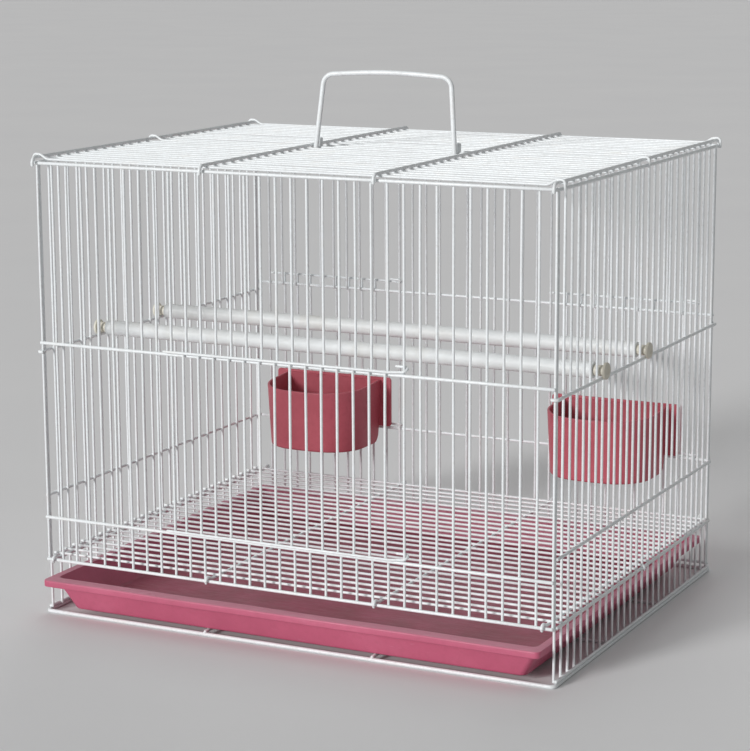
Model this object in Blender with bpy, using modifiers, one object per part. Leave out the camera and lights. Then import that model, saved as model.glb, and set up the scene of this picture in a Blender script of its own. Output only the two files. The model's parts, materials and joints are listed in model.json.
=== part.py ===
"""Welded-wire bird cage: flat wire panels hooked together, doors, tray, perches and cups."""

import math

import bmesh
import bpy
from mathutils import Matrix, Vector

# Overall sizes, in metres
WIDTH = 0.4191              # between the corner uprights of the front wall
DEPTH = 0.3302              # between the front and the back uprights
TOP_RAIL_Z = 0.3490         # height of the rails round the top

# Wire counts and radii
FRONT_GAPS = 33             # gaps between uprights along the front and the back
SIDE_GAPS = 26              # gaps between uprights along a side
UPRIGHT_R = 0.0010
RAIL_R = 0.00125
FRAME_R = 0.0015
HANDLE_R = 0.0020
WIRE_FACETS = 1             # curve bevel resolution: six flats round a wire
HANDLE_FACETS = 2           # eight flats round the handle
ARC_STEP = 30.0             # degrees between the points of a bend in a wire
MOULD_STEP = 12.0           # degrees between the points of a moulded corner

# Fits
WELD = 0.0004               # how far crossing wires sink into each other
PLAY = 0.0004               # clearance of hooks, hinges and door stops
SEAT = 0.0003               # gap where one piece rests on another

# Rail heights
FLOOR_RAIL_Z = 0.0430
FRONT_LOW_RAIL_Z = 0.0765
MID_RAIL_Z = 0.2126         # front and back walls
WALL_LOW_RAIL_Z = 0.0925
SIDE_MID_RAIL_Z = 0.2055

# Doors: the uprights at the latch and the hinge, counted from the left
FRONT_DOOR = (9, 24)
LEFT_FEEDER = (1, 11)
RIGHT_FEEDER = (22, 32)
LATCH_OVERLAP = 0.0040      # how far a closed door laps over the latch upright
FEEDER_TOP_RISE = 0.0080    # top wire of a feeder door above its rail
HINGE_RUN = 0.0100          # length over which a door wire bends in to its hinge
HINGE_RISE = 0.0030         # climb of a hinge curl
HINGE_TAIL = 0.0080         # straight end of a hinge curl
HINGE_GRIP = -120.0         # angle at which a curl without a tail ends

# Hooks of the panels
CURL_GRIP = -150.0          # end of the side rails' curls round the corner uprights
HOOK_GRIP = -30.0           # end of the hooks over the top and the floor rails
CROSS_COLUMNS = (FRONT_GAPS // 3, 2 * FRONT_GAPS // 3)  # uprights beside the inner wires across
HOOK_ROWS = (0, SIDE_GAPS // 2, SIDE_GAPS)  # top wires that hook over the side walls
TOP_STEP = 0.0050           # an inner wire across the top hooks this far beside an upright
FLOOR_HOOK_ROW = SIDE_GAPS // 2  # floor wire that hooks over the side walls
FLOOR_STEP = 0.0030         # a floor runner passes this far beside an upright
FLOOR_DIP = 30.0            # degrees at which a floor runner slopes down from the rail it hooks over

# Base frame
BASE_CORNER_R = 0.0030
BASE_RUNNER_X = 0.0700
BASE_CROSS_Y = 0.0550
BASE_RUNNER_END = 0.0008    # a runner reaches this far past the middle of the frame wire

# Carry handle
HANDLE_ROW = SIDE_GAPS // 2 # top wire that the handle hooks round
HANDLE_FOOT_X = 0.0594      # each foot from the middle of the cage
HANDLE_TAPER = 0.0053       # each leg leans in by this much
HANDLE_RISE = 0.0573
HANDLE_BOW = 0.0020         # middle of the top bar above its corners
BOW_POINTS = 3              # points along the bowed top bar
HANDLE_CORNER_R = 0.0090
HANDLE_TAIL = 0.0080        # short end of a foot beyond its turn
HANDLE_LEAN = 5.0           # degrees that the handle leans back at rest

# Tray
TRAY_HEIGHT = 0.0250
TRAY_OVERHANG = 0.0160      # how far the flange stands out in front of the uprights
TRAY_SIDE_GAP = 0.0025
TRAY_SIDE_FLANGE = 0.0047   # flat flange beyond the side walls
TRAY_END_FLANGE = 0.0094    # flat flange beyond the front and the back wall
TRAY_LIP = 0.0050           # height of the flange's turned-down edge
TRAY_SIDE_DRAFT = 0.0128    # how far the side walls lean in towards the bottom
TRAY_END_DRAFT = 0.0080     # how far the front and the back wall lean in
TRAY_RIM_R = 0.0040         # corner radius of the flange
TRAY_CORNER_R = 0.0050      # corner radius of the well
TRAY_WALL = 0.0018

# Perches
PERCH_SPACES = (6, 13)      # side gaps that hold the front and the rear perch
PERCH_R = 0.0060
PERCH_BORE_R = 0.0034
PERCH_END_GAP = 0.0034      # rod end to the uprights
NECK_SIDE_GAP = 0.0013      # neck to the uprights on each side of it
PLUG_RAIL_GAP = 0.0005      # plug head to the side rail
PLUG_HEAD = 0.0024
PLUG_HEAD_R = 0.0062
PLUG_EDGE = 0.0006
PLUG_SPIGOT = 0.0120
TURN_STEPS = 14             # flats round a perch

# Feed cups
CUP_SIDE_GAP = 0.0078       # back plate to the uprights beside its opening
CUP_FLANGE = 0.0097         # back plate beyond the bowl on each side
RIGHT_CUP_SHIFT = -0.0050   # the right cup hangs this far beside the middle of its opening
CUP_PLATE_HEIGHT = 0.0430
CUP_PLATE_CORNER = 0.0030
CUP_DEPTH = 0.0620
CUP_HEIGHT = 0.0520         # at the front
CUP_RIM_RISE = 0.0040       # the rim climbs this much to the back
CUP_HANG = 0.0135           # bowl bottom below the rail that carries the cup
CUP_WALL = 0.0020
CUP_CORNER_R = 0.0340
CUP_BOW = 0.0030            # bulge of the bowl's front
CUP_DRAFT = 0.0028          # how far the bowl narrows towards its bottom
CUP_WELD = 0.0004           # overlap of bowl, plate and lips
LIP_GAPS = 2.5              # each lip stands this many gaps from the middle of the opening
LIP_SIDE_GAP = 0.0018       # lip to the door wires beside it
LIP_WALL = 0.0013
LIP_DROP = 0.0060           # lip below the top of the rail
LIP_BRIDGE = 0.0020

# Spacing and layers worked out from the sizes above
FRONT_PITCH = WIDTH / FRONT_GAPS
CORNER_STEP = 2 * UPRIGHT_R + PLAY          # side wall's end uprights behind the corner uprights
SIDE_PITCH = (DEPTH - 2 * CORNER_STEP) / SIDE_GAPS
RAIL_OUT = UPRIGHT_R + RAIL_R - WELD        # rail axis outside its uprights
RAIL_FACE = RAIL_OUT + RAIL_R
CURL_R = UPRIGHT_R + PLAY + RAIL_R          # rail curled round an upright
HINGE_R = 2 * UPRIGHT_R + PLAY              # door wire curled round an upright
DOOR_OUT = RAIL_FACE + PLAY + UPRIGHT_R     # door uprights outside the wall
DOOR_FRAME_OUT = DOOR_OUT + 2 * UPRIGHT_R - WELD
ROW_Z = TOP_RAIL_Z + RAIL_R + PLAY + UPRIGHT_R
CROSS_Z = ROW_Z + UPRIGHT_R + RAIL_R - WELD
FLOOR_HOOK_R = 2 * RAIL_R + PLAY            # floor runner bent over a rail
FLOOR_ROW_Z = FLOOR_RAIL_Z + RAIL_R + PLAY + UPRIGHT_R
FLOOR_RUNNER_Z = FLOOR_ROW_Z - UPRIGHT_R - RAIL_R + WELD
FRAME_Z = FRAME_R * math.cos(math.pi / 6)   # a flat of the frame wire lies on the ground
BASE_RUNNER_Z = 2 * FRAME_Z + RAIL_R - WELD
BASE_TOP = BASE_RUNNER_Z + RAIL_R
SIDE_FOOT_Z = 2 * FRAME_Z + SEAT + RAIL_R
BACK_FOOT_Z = BASE_TOP + SEAT + RAIL_R
BACK_REACH = RAIL_OUT + (CROSS_Z - TOP_RAIL_Z) + RAIL_R
CAGE_Y = (TRAY_OVERHANG - BACK_REACH) / 2   # centres the whole object on the origin
RIDGE = math.pi / 6         # turns a wire so that a ridge faces the wire it crosses

# Colours: coated wire, tray, cups, perch rods and perch plugs
WIRE_COLOUR = (0.80, 0.83, 0.85, 1.0)
TRAY_COLOUR = (0.55, 0.12, 0.20, 1.0)
CUP_COLOUR = (0.48, 0.09, 0.12, 1.0)
ROD_COLOUR = (0.76, 0.78, 0.78, 1.0)
PLUG_COLOUR = (0.56, 0.53, 0.45, 1.0)
COAT_ROUGHNESS = 0.35
PLASTIC_ROUGHNESS = 0.45
SMOOTH_ANGLE = math.radians(65)
WELD_DISTANCE = 1e-6


def clear_scene():
    """Empties the scene and makes the collections for the parts and the tools."""
    for item in list(bpy.data.objects):
        bpy.data.objects.remove(item)
    parts = bpy.data.collections.new("wire_bird_cage")
    tools = bpy.data.collections.new("tools")
    for collection in (parts, tools):
        bpy.context.scene.collection.children.link(collection)
    return parts, tools


PARTS, TOOLS = clear_scene()
CAGE = bpy.data.objects.new("cage_centre", None)
CAGE.location = (0.0, CAGE_Y, 0.0)
PARTS.objects.link(CAGE)


def front_x(column):
    """X of an upright in the front or the back wall."""
    return -WIDTH / 2 + column * FRONT_PITCH


def side_y(row):
    """Y of an upright in a side wall."""
    return -DEPTH / 2 + CORNER_STEP + row * SIDE_PITCH


def evaluated_mesh(item):
    """New mesh of an object with its modifiers applied."""
    graph = bpy.context.evaluated_depsgraph_get()
    return bpy.data.meshes.new_from_object(item.evaluated_get(graph))


def add_part(name, mesh, colour, roughness, origin=(0.0, 0.0, 0.0)):
    """Named part with its own material and its origin at a point of the cage."""
    shader = bpy.data.materials.new(name + "_finish")
    shader.use_nodes = True
    surface = shader.node_tree.nodes["Principled BSDF"]
    surface.inputs["Base Color"].default_value = colour
    surface.inputs["Roughness"].default_value = roughness
    surface.inputs["Metallic"].default_value = 0.0
    mesh.materials.clear()
    mesh.materials.append(shader)
    mesh.shade_smooth()
    mesh.set_sharp_from_angle(angle=SMOOTH_ANGLE)
    mesh.transform(Matrix.Translation(-Vector(origin)))
    part = bpy.data.objects.new(name, mesh)
    part.location = origin
    part.parent = CAGE
    PARTS.objects.link(part)
    return part


def combine(mesh, other, operation):
    """Boolean of two closed meshes."""
    body = bpy.data.objects.new("body", mesh)
    tool = bpy.data.objects.new("tool", other)
    for item in (body, tool):
        TOOLS.objects.link(item)
    modifier = body.modifiers.new("combine", "BOOLEAN")
    modifier.operation = operation
    modifier.solver = "EXACT"
    modifier.object = tool
    result = evaluated_mesh(body)
    for item in (body, tool):
        bpy.data.objects.remove(item)
    return result


def weld_caps(mesh):
    """Joins the loose caps of a mesh made from a curve."""
    form = bmesh.new()
    form.from_mesh(mesh)
    bmesh.ops.remove_doubles(form, verts=form.verts, dist=WELD_DISTANCE)
    bmesh.ops.recalc_face_normals(form, faces=form.faces)
    form.to_mesh(mesh)
    form.free()
    return mesh


def wire_mesh(runs, radius, turn=0.0, facets=WIRE_FACETS, closed=False):
    """Closed mesh of round wires, one along each run of points."""
    curve = bpy.data.curves.new("wires", "CURVE")
    curve.dimensions = "3D"
    curve.bevel_depth = radius
    curve.bevel_resolution = facets
    curve.use_fill_caps = True
    for run in runs:
        spline = curve.splines.new("POLY")
        spline.points.add(len(run) - 1)
        spline.use_cyclic_u = closed
        for point, place in zip(spline.points, run):
            point.co = (*place, 1.0)
            point.tilt = turn
    item = bpy.data.objects.new("wires", curve)
    TOOLS.objects.link(item)
    mesh = weld_caps(evaluated_mesh(item))
    bpy.data.objects.remove(item)
    return mesh


def plate_mesh(outline, thickness, matrix):
    """Flat outline of a 2D curve, extruded to a thickness about its middle."""
    curve = bpy.data.curves.new("outline", "CURVE")
    curve.dimensions = "2D"
    curve.fill_mode = "BOTH"
    curve.extrude = thickness / 2
    spline = curve.splines.new("POLY")
    spline.points.add(len(outline) - 1)
    spline.use_cyclic_u = True
    for point, place in zip(spline.points, outline):
        point.co = (place[0], place[1], 0.0, 1.0)
    item = bpy.data.objects.new("outline", curve)
    TOOLS.objects.link(item)
    mesh = weld_caps(evaluated_mesh(item))
    bpy.data.objects.remove(item)
    mesh.transform(matrix)
    return mesh


def turned_mesh(profile):
    """Profile of (radius, x) points turned round the X axis with a Screw modifier."""
    mesh = bpy.data.meshes.new("profile")
    points = [(x, radius, 0.0) for radius, x in profile]
    edges = [(k, k + 1) for k in range(len(points) - 1)]
    if profile[0][0] > 0.0:
        edges.append((len(points) - 1, 0))
    mesh.from_pydata(points, edges, [])
    item = bpy.data.objects.new("profile", mesh)
    TOOLS.objects.link(item)
    screw = item.modifiers.new("turn", "SCREW")
    screw.axis = "X"
    screw.steps = TURN_STEPS
    screw.render_steps = TURN_STEPS
    screw.use_merge_vertices = True
    screw.merge_threshold = WELD_DISTANCE
    turned = weld_caps(evaluated_mesh(item))
    bpy.data.objects.remove(item)
    return turned


def arc(centre, across, up, radius, start, end):
    """Points of an arc in the plane of two axes, from one angle to another in degrees."""
    count = max(1, math.ceil(abs(end - start) / ARC_STEP))
    points = []
    for k in range(count + 1):
        angle = math.radians(start + (end - start) * k / count)
        reach = Vector(across) * math.cos(angle) + Vector(up) * math.sin(angle)
        points.append(Vector(centre) + reach * radius)
    return points


def fillet(before, corner, after, radius, step):
    """Points of the arc that rounds off a corner of a path, one to each step in degrees."""
    corner = Vector(corner)
    back = (Vector(before) - corner).normalized()
    ahead = (Vector(after) - corner).normalized()
    half = back.angle(ahead) / 2
    centre = corner + (back + ahead).normalized() * radius / math.sin(half)
    first = (corner + back * radius / math.tan(half) - centre).normalized()
    last = (corner + ahead * radius / math.tan(half) - centre).normalized()
    count = max(1, math.ceil(math.degrees(math.pi - 2 * half) / step))
    return [centre + first.slerp(last, k / count) * radius for k in range(count + 1)]


def rounded_outline(half_x, half_y, radius, step):
    """Points of a rounded rectangle about the origin."""
    corners = [(half_x, half_y, 0.0), (-half_x, half_y, 0.0),
               (-half_x, -half_y, 0.0), (half_x, -half_y, 0.0)]
    points = []
    for k, corner in enumerate(corners):
        points += fillet(corners[k - 1], corner, corners[(k + 1) % len(corners)], radius, step)
    return points


def wall_runs(plane_y, outward, rail_heights, windows):
    """Upright runs and rail runs of the front or the back wall, with its door windows left open."""
    uprights = []
    for column in range(FRONT_GAPS + 1):
        x = front_x(column)
        low = min(rail_heights) - RAIL_R
        for (first, last), sill, head in windows:
            if first < column < last:
                uprights.append([(x, plane_y, low), (x, plane_y, sill + RAIL_R)])
                low = head - RAIL_R
        uprights.append([(x, plane_y, low), (x, plane_y, max(rail_heights) + RAIL_R)])
    reach = WIDTH / 2 + UPRIGHT_R
    rail_y = plane_y + outward * RAIL_OUT
    rails = [[(-reach, rail_y, z), (reach, rail_y, z)] for z in rail_heights]
    return uprights, rails


def add_wire_panel(name, wires, rails, wire_turn, rail_turn, origin=(0.0, 0.0, 0.0)):
    """Panel of thin wires welded to its rails."""
    thin = wire_mesh(wires, UPRIGHT_R, wire_turn)
    thick = wire_mesh(rails, RAIL_R, rail_turn)
    mesh = combine(thin, thick, "UNION")
    return add_part(name, mesh, WIRE_COLOUR, COAT_ROUGHNESS, origin)


def add_front_wall():
    heights = (FLOOR_RAIL_Z, FRONT_LOW_RAIL_Z, MID_RAIL_Z, TOP_RAIL_Z)
    window = (FRONT_DOOR, FRONT_LOW_RAIL_Z, MID_RAIL_Z)
    uprights, rails = wall_runs(-DEPTH / 2, -1, heights, [window])
    add_wire_panel("front_panel", uprights, rails, RIDGE, 0.0)


def add_back_wall():
    heights = (BACK_FOOT_Z, FLOOR_RAIL_Z, WALL_LOW_RAIL_Z, MID_RAIL_Z, TOP_RAIL_Z)
    windows = [(columns, WALL_LOW_RAIL_Z, MID_RAIL_Z) for columns in (LEFT_FEEDER, RIGHT_FEEDER)]
    uprights, rails = wall_runs(DEPTH / 2, 1, heights, windows)
    add_wire_panel("back_panel", uprights, rails, RIDGE, 0.0)


def curled_side_rail(side):
    """Middle rail of a side wall, curled round the front and the back corner uprights."""
    run = []
    for end in (-1, 1):
        corner = (side * WIDTH / 2, end * DEPTH / 2, SIDE_MID_RAIL_Z)
        curl = arc(corner, (side, 0, 0), (0, -end, 0), CURL_R, 0.0, CURL_GRIP)
        bend_row = 1 if end < 0 else SIDE_GAPS - 1
        end_row = 0 if end < 0 else SIDE_GAPS
        clear = Vector((side * (WIDTH / 2 + CURL_R), side_y(end_row), SIDE_MID_RAIL_Z))
        seat = Vector((side * (WIDTH / 2 + RAIL_OUT), side_y(bend_row), SIDE_MID_RAIL_Z))
        half = list(reversed(curl)) + [clear, seat]
        run += half if end < 0 else reversed(half)
    return run


def add_side_wall(name, side):
    """Side wall with rails outside its uprights."""
    plane_x = side * WIDTH / 2
    rail_x = plane_x + side * RAIL_OUT
    low = SIDE_FOOT_Z - RAIL_R
    high = TOP_RAIL_Z + RAIL_R
    rows = [side_y(row) for row in range(SIDE_GAPS + 1)]
    uprights = [[(plane_x, y, low), (plane_x, y, high)] for y in rows]
    reach = (rows[0] - UPRIGHT_R, rows[-1] + UPRIGHT_R)
    heights = (SIDE_FOOT_Z, FLOOR_RAIL_Z, WALL_LOW_RAIL_Z, TOP_RAIL_Z)
    rails = [[(rail_x, y, z) for y in reach] for z in heights]
    rails.append(curled_side_rail(side))
    add_wire_panel(name, uprights, rails, 0.0, 0.0)


def add_top_panel():
    """Top wires with wires across them, hooked over the rails of the four walls."""
    rows = []
    for row in range(SIDE_GAPS + 1):
        y = side_y(row)
        run = []
        for side in (-1, 1):
            if row in HOOK_ROWS:
                rail = (side * (WIDTH / 2 + RAIL_OUT), y, TOP_RAIL_Z)
                hook = arc(rail, (side, 0, 0), (0, 0, 1), ROW_Z - TOP_RAIL_Z, HOOK_GRIP, 90.0)
                run += hook if side < 0 else reversed(hook)
            else:
                run.append((side * (WIDTH / 2 + RAIL_R), y, ROW_Z))
        rows.append(run)
    inner = [front_x(column) + TOP_STEP for column in CROSS_COLUMNS]
    crosses = []
    for x in (-WIDTH / 2, *inner, WIDTH / 2):
        run = []
        for end in (-1, 1):
            rail = (x, end * (DEPTH / 2 + RAIL_OUT), TOP_RAIL_Z)
            hook = arc(rail, (0, end, 0), (0, 0, 1), CROSS_Z - TOP_RAIL_Z, HOOK_GRIP, 90.0)
            run += hook if end < 0 else reversed(hook)
        crosses.append(run)
    add_wire_panel("top_panel", rows, crosses, RIDGE, RIDGE)


def add_floor_grid():
    """Floor wires that reach over the side rails, on runners hooked over the front and the back floor rails."""
    rows = []
    for row in range(SIDE_GAPS):
        y = side_y(row + 0.5)
        run = []
        for side in (-1, 1):
            rail = (side * (WIDTH / 2 + RAIL_OUT), y, FLOOR_RAIL_Z)
            if row == FLOOR_HOOK_ROW:
                hook = arc(rail, (side, 0, 0), (0, 0, 1), FLOOR_ROW_Z - FLOOR_RAIL_Z, HOOK_GRIP, 90.0)
                run += hook if side < 0 else reversed(hook)
            else:
                run.append((rail[0], y, FLOOR_ROW_Z))
        rows.append(run)
    inner = [front_x(column) + FLOOR_STEP for column in CROSS_COLUMNS]
    dip = math.radians(FLOOR_DIP)
    drop = FLOOR_RAIL_Z + FLOOR_HOOK_R * math.cos(dip) - FLOOR_RUNNER_Z
    inward = FLOOR_HOOK_R * math.sin(dip) + drop / math.tan(dip)
    runners = []
    for x in (front_x(0.5), *inner, front_x(FRONT_GAPS - 0.5)):
        run = []
        for end in (-1, 1):
            rail = (x, end * (DEPTH / 2 + RAIL_OUT), FLOOR_RAIL_Z)
            hook = arc(rail, (0, end, 0), (0, 0, 1), FLOOR_HOOK_R, HOOK_GRIP, 90.0 + FLOOR_DIP)
            hook.append((x, rail[1] - end * inward, FLOOR_RUNNER_Z))
            run += hook if end < 0 else reversed(hook)
        runners.append(run)
    add_wire_panel("floor_grid", rows, runners, RIDGE, RIDGE)


def add_base_grid():
    """Bent frame wire that stands on the ground, with runners for the tray."""
    half_x = WIDTH / 2 + RAIL_OUT
    half_y = DEPTH / 2 + RAIL_OUT
    outline = rounded_outline(half_x, half_y, BASE_CORNER_R, ARC_STEP)
    frame = wire_mesh([[(point.x, point.y, FRAME_Z) for point in outline]], FRAME_R, closed=True)
    reach_x = half_x - FRAME_R + WELD
    crosses = [[(-reach_x, y, FRAME_Z), (reach_x, y, FRAME_Z)] for y in (-BASE_CROSS_Y, BASE_CROSS_Y)]
    reach_y = half_y + BASE_RUNNER_END
    runners = [[(x, -reach_y, BASE_RUNNER_Z), (x, reach_y, BASE_RUNNER_Z)]
               for x in (-BASE_RUNNER_X, BASE_RUNNER_X)]
    mesh = combine(frame, wire_mesh(crosses, RAIL_R, RIDGE), "UNION")
    mesh = combine(mesh, wire_mesh(runners, RAIL_R, RIDGE), "UNION")
    add_part("base_grid", mesh, WIRE_COLOUR, COAT_ROUGHNESS)


def door_wire(columns, plane_y, outward, z, tail):
    """Top or bottom wire of a door, curled round its hinge upright at the right."""
    latch_x = front_x(columns[0]) - LATCH_OVERLAP
    hinge = Vector((front_x(columns[1]), plane_y, z))
    out = Vector((0, outward, 0))
    across = Vector((1, 0, 0))
    run = [Vector((latch_x, plane_y, z)) + out * DOOR_FRAME_OUT]
    run.append(hinge - across * HINGE_RUN + out * DOOR_FRAME_OUT)
    end = -90.0 if tail else HINGE_GRIP
    curl = arc(hinge, across, out, HINGE_R, 90.0, end)
    for k, point in enumerate(curl):
        point.z += HINGE_RISE * k / (len(curl) - 1)
    run += curl
    if tail:
        run.append(curl[-1] - across * tail)
    return run


def add_door(name, columns, plane_y, outward, bottom_z, top_z, bottom_tail):
    """Door of upright wires outside a wall, hinged on one of the wall's uprights."""
    y = plane_y + outward * DOOR_OUT
    low = bottom_z - UPRIGHT_R
    high = top_z + UPRIGHT_R
    uprights = [[(front_x(k), y, low), (front_x(k), y, high)] for k in range(columns[0] + 1, columns[1])]
    frame = [door_wire(columns, plane_y, outward, bottom_z, bottom_tail),
             door_wire(columns, plane_y, outward, top_z, HINGE_TAIL)]
    mesh = combine(wire_mesh(uprights, UPRIGHT_R, RIDGE), wire_mesh(frame, UPRIGHT_R), "UNION")
    hinge = (front_x(columns[1]), plane_y, bottom_z)
    add_part(name, mesh, WIRE_COLOUR, COAT_ROUGHNESS, hinge)


def add_doors():
    rest = RAIL_R + PLAY + UPRIGHT_R
    add_door("front_door", FRONT_DOOR, -DEPTH / 2, -1,
             FRONT_LOW_RAIL_Z + rest, MID_RAIL_Z + rest, HINGE_TAIL)
    for name, columns in (("left_feeder_door", LEFT_FEEDER), ("right_feeder_door", RIGHT_FEEDER)):
        add_door(name, columns, DEPTH / 2, 1,
                 WALL_LOW_RAIL_Z + rest, MID_RAIL_Z + FEEDER_TOP_RISE, 0.0)


def add_handle():
    """Bail with two hooked feet round the middle wire of the top."""
    turn = UPRIGHT_R + PLAY + HANDLE_R
    axis = Vector((0.0, side_y(HANDLE_ROW), ROW_Z))
    halves = []
    for side in (-1, 1):
        foot = axis + Vector((side * HANDLE_FOOT_X, 0, 0))
        hook = arc(foot, (0, 1, 0), (0, 0, 1), turn, 0.0, -180.0)
        tip = hook[0] + Vector((0, 0, HANDLE_TAIL))
        corner = hook[-1] + Vector((-side * HANDLE_TAPER, 0, HANDLE_RISE))
        other = corner - Vector((2 * corner.x, 0, 0))
        halves.append([tip] + hook + fillet(hook[-1], corner, other, HANDLE_CORNER_R, ARC_STEP / 2))
    bar = []
    for k in range(1, BOW_POINTS + 1):
        share = k / (BOW_POINTS + 1)
        lift = HANDLE_BOW * math.sin(math.pi * share)
        bar.append(halves[0][-1].lerp(halves[1][-1], share) + Vector((0, 0, lift)))
    run = halves[0] + bar + halves[1][::-1]
    mesh = wire_mesh([run], HANDLE_R, facets=HANDLE_FACETS)
    lean = Matrix.Rotation(-math.radians(HANDLE_LEAN), 4, "X")
    mesh.transform(Matrix.Translation(axis) @ lean @ Matrix.Translation(-axis))
    add_part("carry_handle", mesh, WIRE_COLOUR, COAT_ROUGHNESS, axis)


def tapered_block(outline, low, high, scale_x, scale_y):
    """Outline extruded between two heights and scaled about the Z axis at its bottom."""
    middle = (low + high) / 2
    mesh = plate_mesh(outline, high - low, Matrix.Translation((0.0, 0.0, middle)))
    for vert in mesh.vertices:
        if vert.co.z < middle:
            vert.co.x *= scale_x
            vert.co.y *= scale_y
    return mesh


def tray_block(half_x, half_y, corner_r, low, high, draft_x, draft_y):
    """Rounded block of the tray, leaning in by the drafts at its bottom."""
    outline = rounded_outline(half_x, half_y, corner_r, MOULD_STEP)
    return tapered_block(outline, low, high, (half_x - draft_x) / half_x, (half_y - draft_y) / half_y)


def add_tray():
    """Shallow tray with a flat flange round it, turned down at its edge."""
    front = -DEPTH / 2 - TRAY_OVERHANG
    back = DEPTH / 2 - UPRIGHT_R - PLAY
    rim_x = WIDTH / 2 - UPRIGHT_R - TRAY_SIDE_GAP
    rim_y = (back - front) / 2
    well_x = rim_x - TRAY_SIDE_FLANGE
    well_y = rim_y - TRAY_END_FLANGE
    lip_low = TRAY_HEIGHT - TRAY_LIP
    flange_low = TRAY_HEIGHT - TRAY_WALL
    mesh = tray_block(rim_x, rim_y, TRAY_RIM_R, lip_low, TRAY_HEIGHT, 0.0, 0.0)
    under = tray_block(rim_x - TRAY_WALL, rim_y - TRAY_WALL, TRAY_RIM_R - TRAY_WALL,
                       lip_low - TRAY_WALL, flange_low, 0.0, 0.0)
    mesh = combine(mesh, under, "DIFFERENCE")
    body = tray_block(well_x, well_y, TRAY_CORNER_R, 0.0, flange_low + TRAY_WALL / 2,
                      TRAY_SIDE_DRAFT, TRAY_END_DRAFT)
    mesh = combine(mesh, body, "UNION")
    hollow = tray_block(well_x - TRAY_WALL, well_y - TRAY_WALL, TRAY_CORNER_R - TRAY_WALL,
                        TRAY_WALL, TRAY_HEIGHT + TRAY_WALL, TRAY_SIDE_DRAFT, TRAY_END_DRAFT)
    mesh = combine(mesh, hollow, "DIFFERENCE")
    origin = Vector((0.0, (front + back) / 2, BASE_TOP + SEAT))
    mesh.transform(Matrix.Translation(origin))
    add_part("tray", mesh, TRAY_COLOUR, PLASTIC_ROUGHNESS, origin)


def add_perches():
    """Rods with a plug in each end, whose necks sit on the side walls' middle rails."""
    neck_r = SIDE_PITCH / 2 - UPRIGHT_R - NECK_SIDE_GAP
    z = SIDE_MID_RAIL_Z + RAIL_R + SEAT + neck_r
    rod_half = WIDTH / 2 - UPRIGHT_R - PERCH_END_GAP
    shoulder = rod_half + SEAT
    head = WIDTH / 2 + RAIL_FACE + PLUG_RAIL_GAP
    tip = head + PLUG_HEAD
    rod = [(PERCH_R, rod_half), (PERCH_R, -rod_half), (PERCH_BORE_R, -rod_half), (PERCH_BORE_R, rod_half)]
    spigot_r = PERCH_BORE_R - SEAT
    plug = [(0.0, tip), (PLUG_HEAD_R - PLUG_EDGE, tip), (PLUG_HEAD_R, tip - PLUG_EDGE),
            (PLUG_HEAD_R, head), (neck_r, head), (neck_r, shoulder), (spigot_r, shoulder),
            (spigot_r, shoulder - PLUG_SPIGOT), (0.0, shoulder - PLUG_SPIGOT)]
    for name, space in zip(("front_perch", "rear_perch"), PERCH_SPACES):
        centre = Vector((0.0, side_y(space + 0.5), z))
        place = Matrix.Translation(centre)
        mesh = turned_mesh(rod)
        mesh.transform(place)
        add_part(name, mesh, ROD_COLOUR, PLASTIC_ROUGHNESS, centre)
        for end, flip in (("right", 0.0), ("left", math.pi)):
            mesh = turned_mesh(plug)
            mesh.transform(place @ Matrix.Rotation(flip, 4, "Z"))
            add_part(f"{name}_{end}_plug", mesh, PLUG_COLOUR, PLASTIC_ROUGHNESS, centre)


def bowl_outline(half_width, depth, corner_r, bow):
    """D-shaped outline: straight back on the X axis, rounded corners and a bulged front at -Y."""
    left = (-half_width, 0.0, 0.0)
    front_left = (-half_width, -depth + bow, 0.0)
    nose = (0.0, -depth, 0.0)
    corner = fillet(left, front_left, nose, corner_r, MOULD_STEP)
    points = [left] + [tuple(point) for point in corner]
    mirrored = [(-x, y, z) for x, y, z in reversed(points)]
    return points + [nose] + mirrored


def bowl_block(half_width, depth, corner_r, low, high):
    """D-shaped block that narrows towards its bottom, with its back kept straight."""
    outline = bowl_outline(half_width, depth, corner_r, CUP_BOW)
    scale_x = (half_width - CUP_DRAFT) / half_width
    scale_y = (depth - CUP_DRAFT) / depth
    return tapered_block(outline, low, high, scale_x, scale_y)


def rim_trim(half_width, rim):
    """Tilted block that cuts the bowl's rim from its full height at the back down to the front."""
    reach_x = half_width + CUP_WALL
    reach_y = CUP_DEPTH + CUP_WALL
    outline = [(-reach_x, -reach_y), (reach_x, -reach_y), (reach_x, CUP_WALL), (-reach_x, CUP_WALL)]
    slope = Matrix.Rotation(math.atan2(CUP_RIM_RISE, CUP_DEPTH), 4, "X")
    raised = Matrix.Translation((0.0, 0.0, CUP_RIM_RISE))
    return plate_mesh(outline, 2 * CUP_RIM_RISE, Matrix.Translation((0.0, 0.0, rim)) @ slope @ raised)


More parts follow.
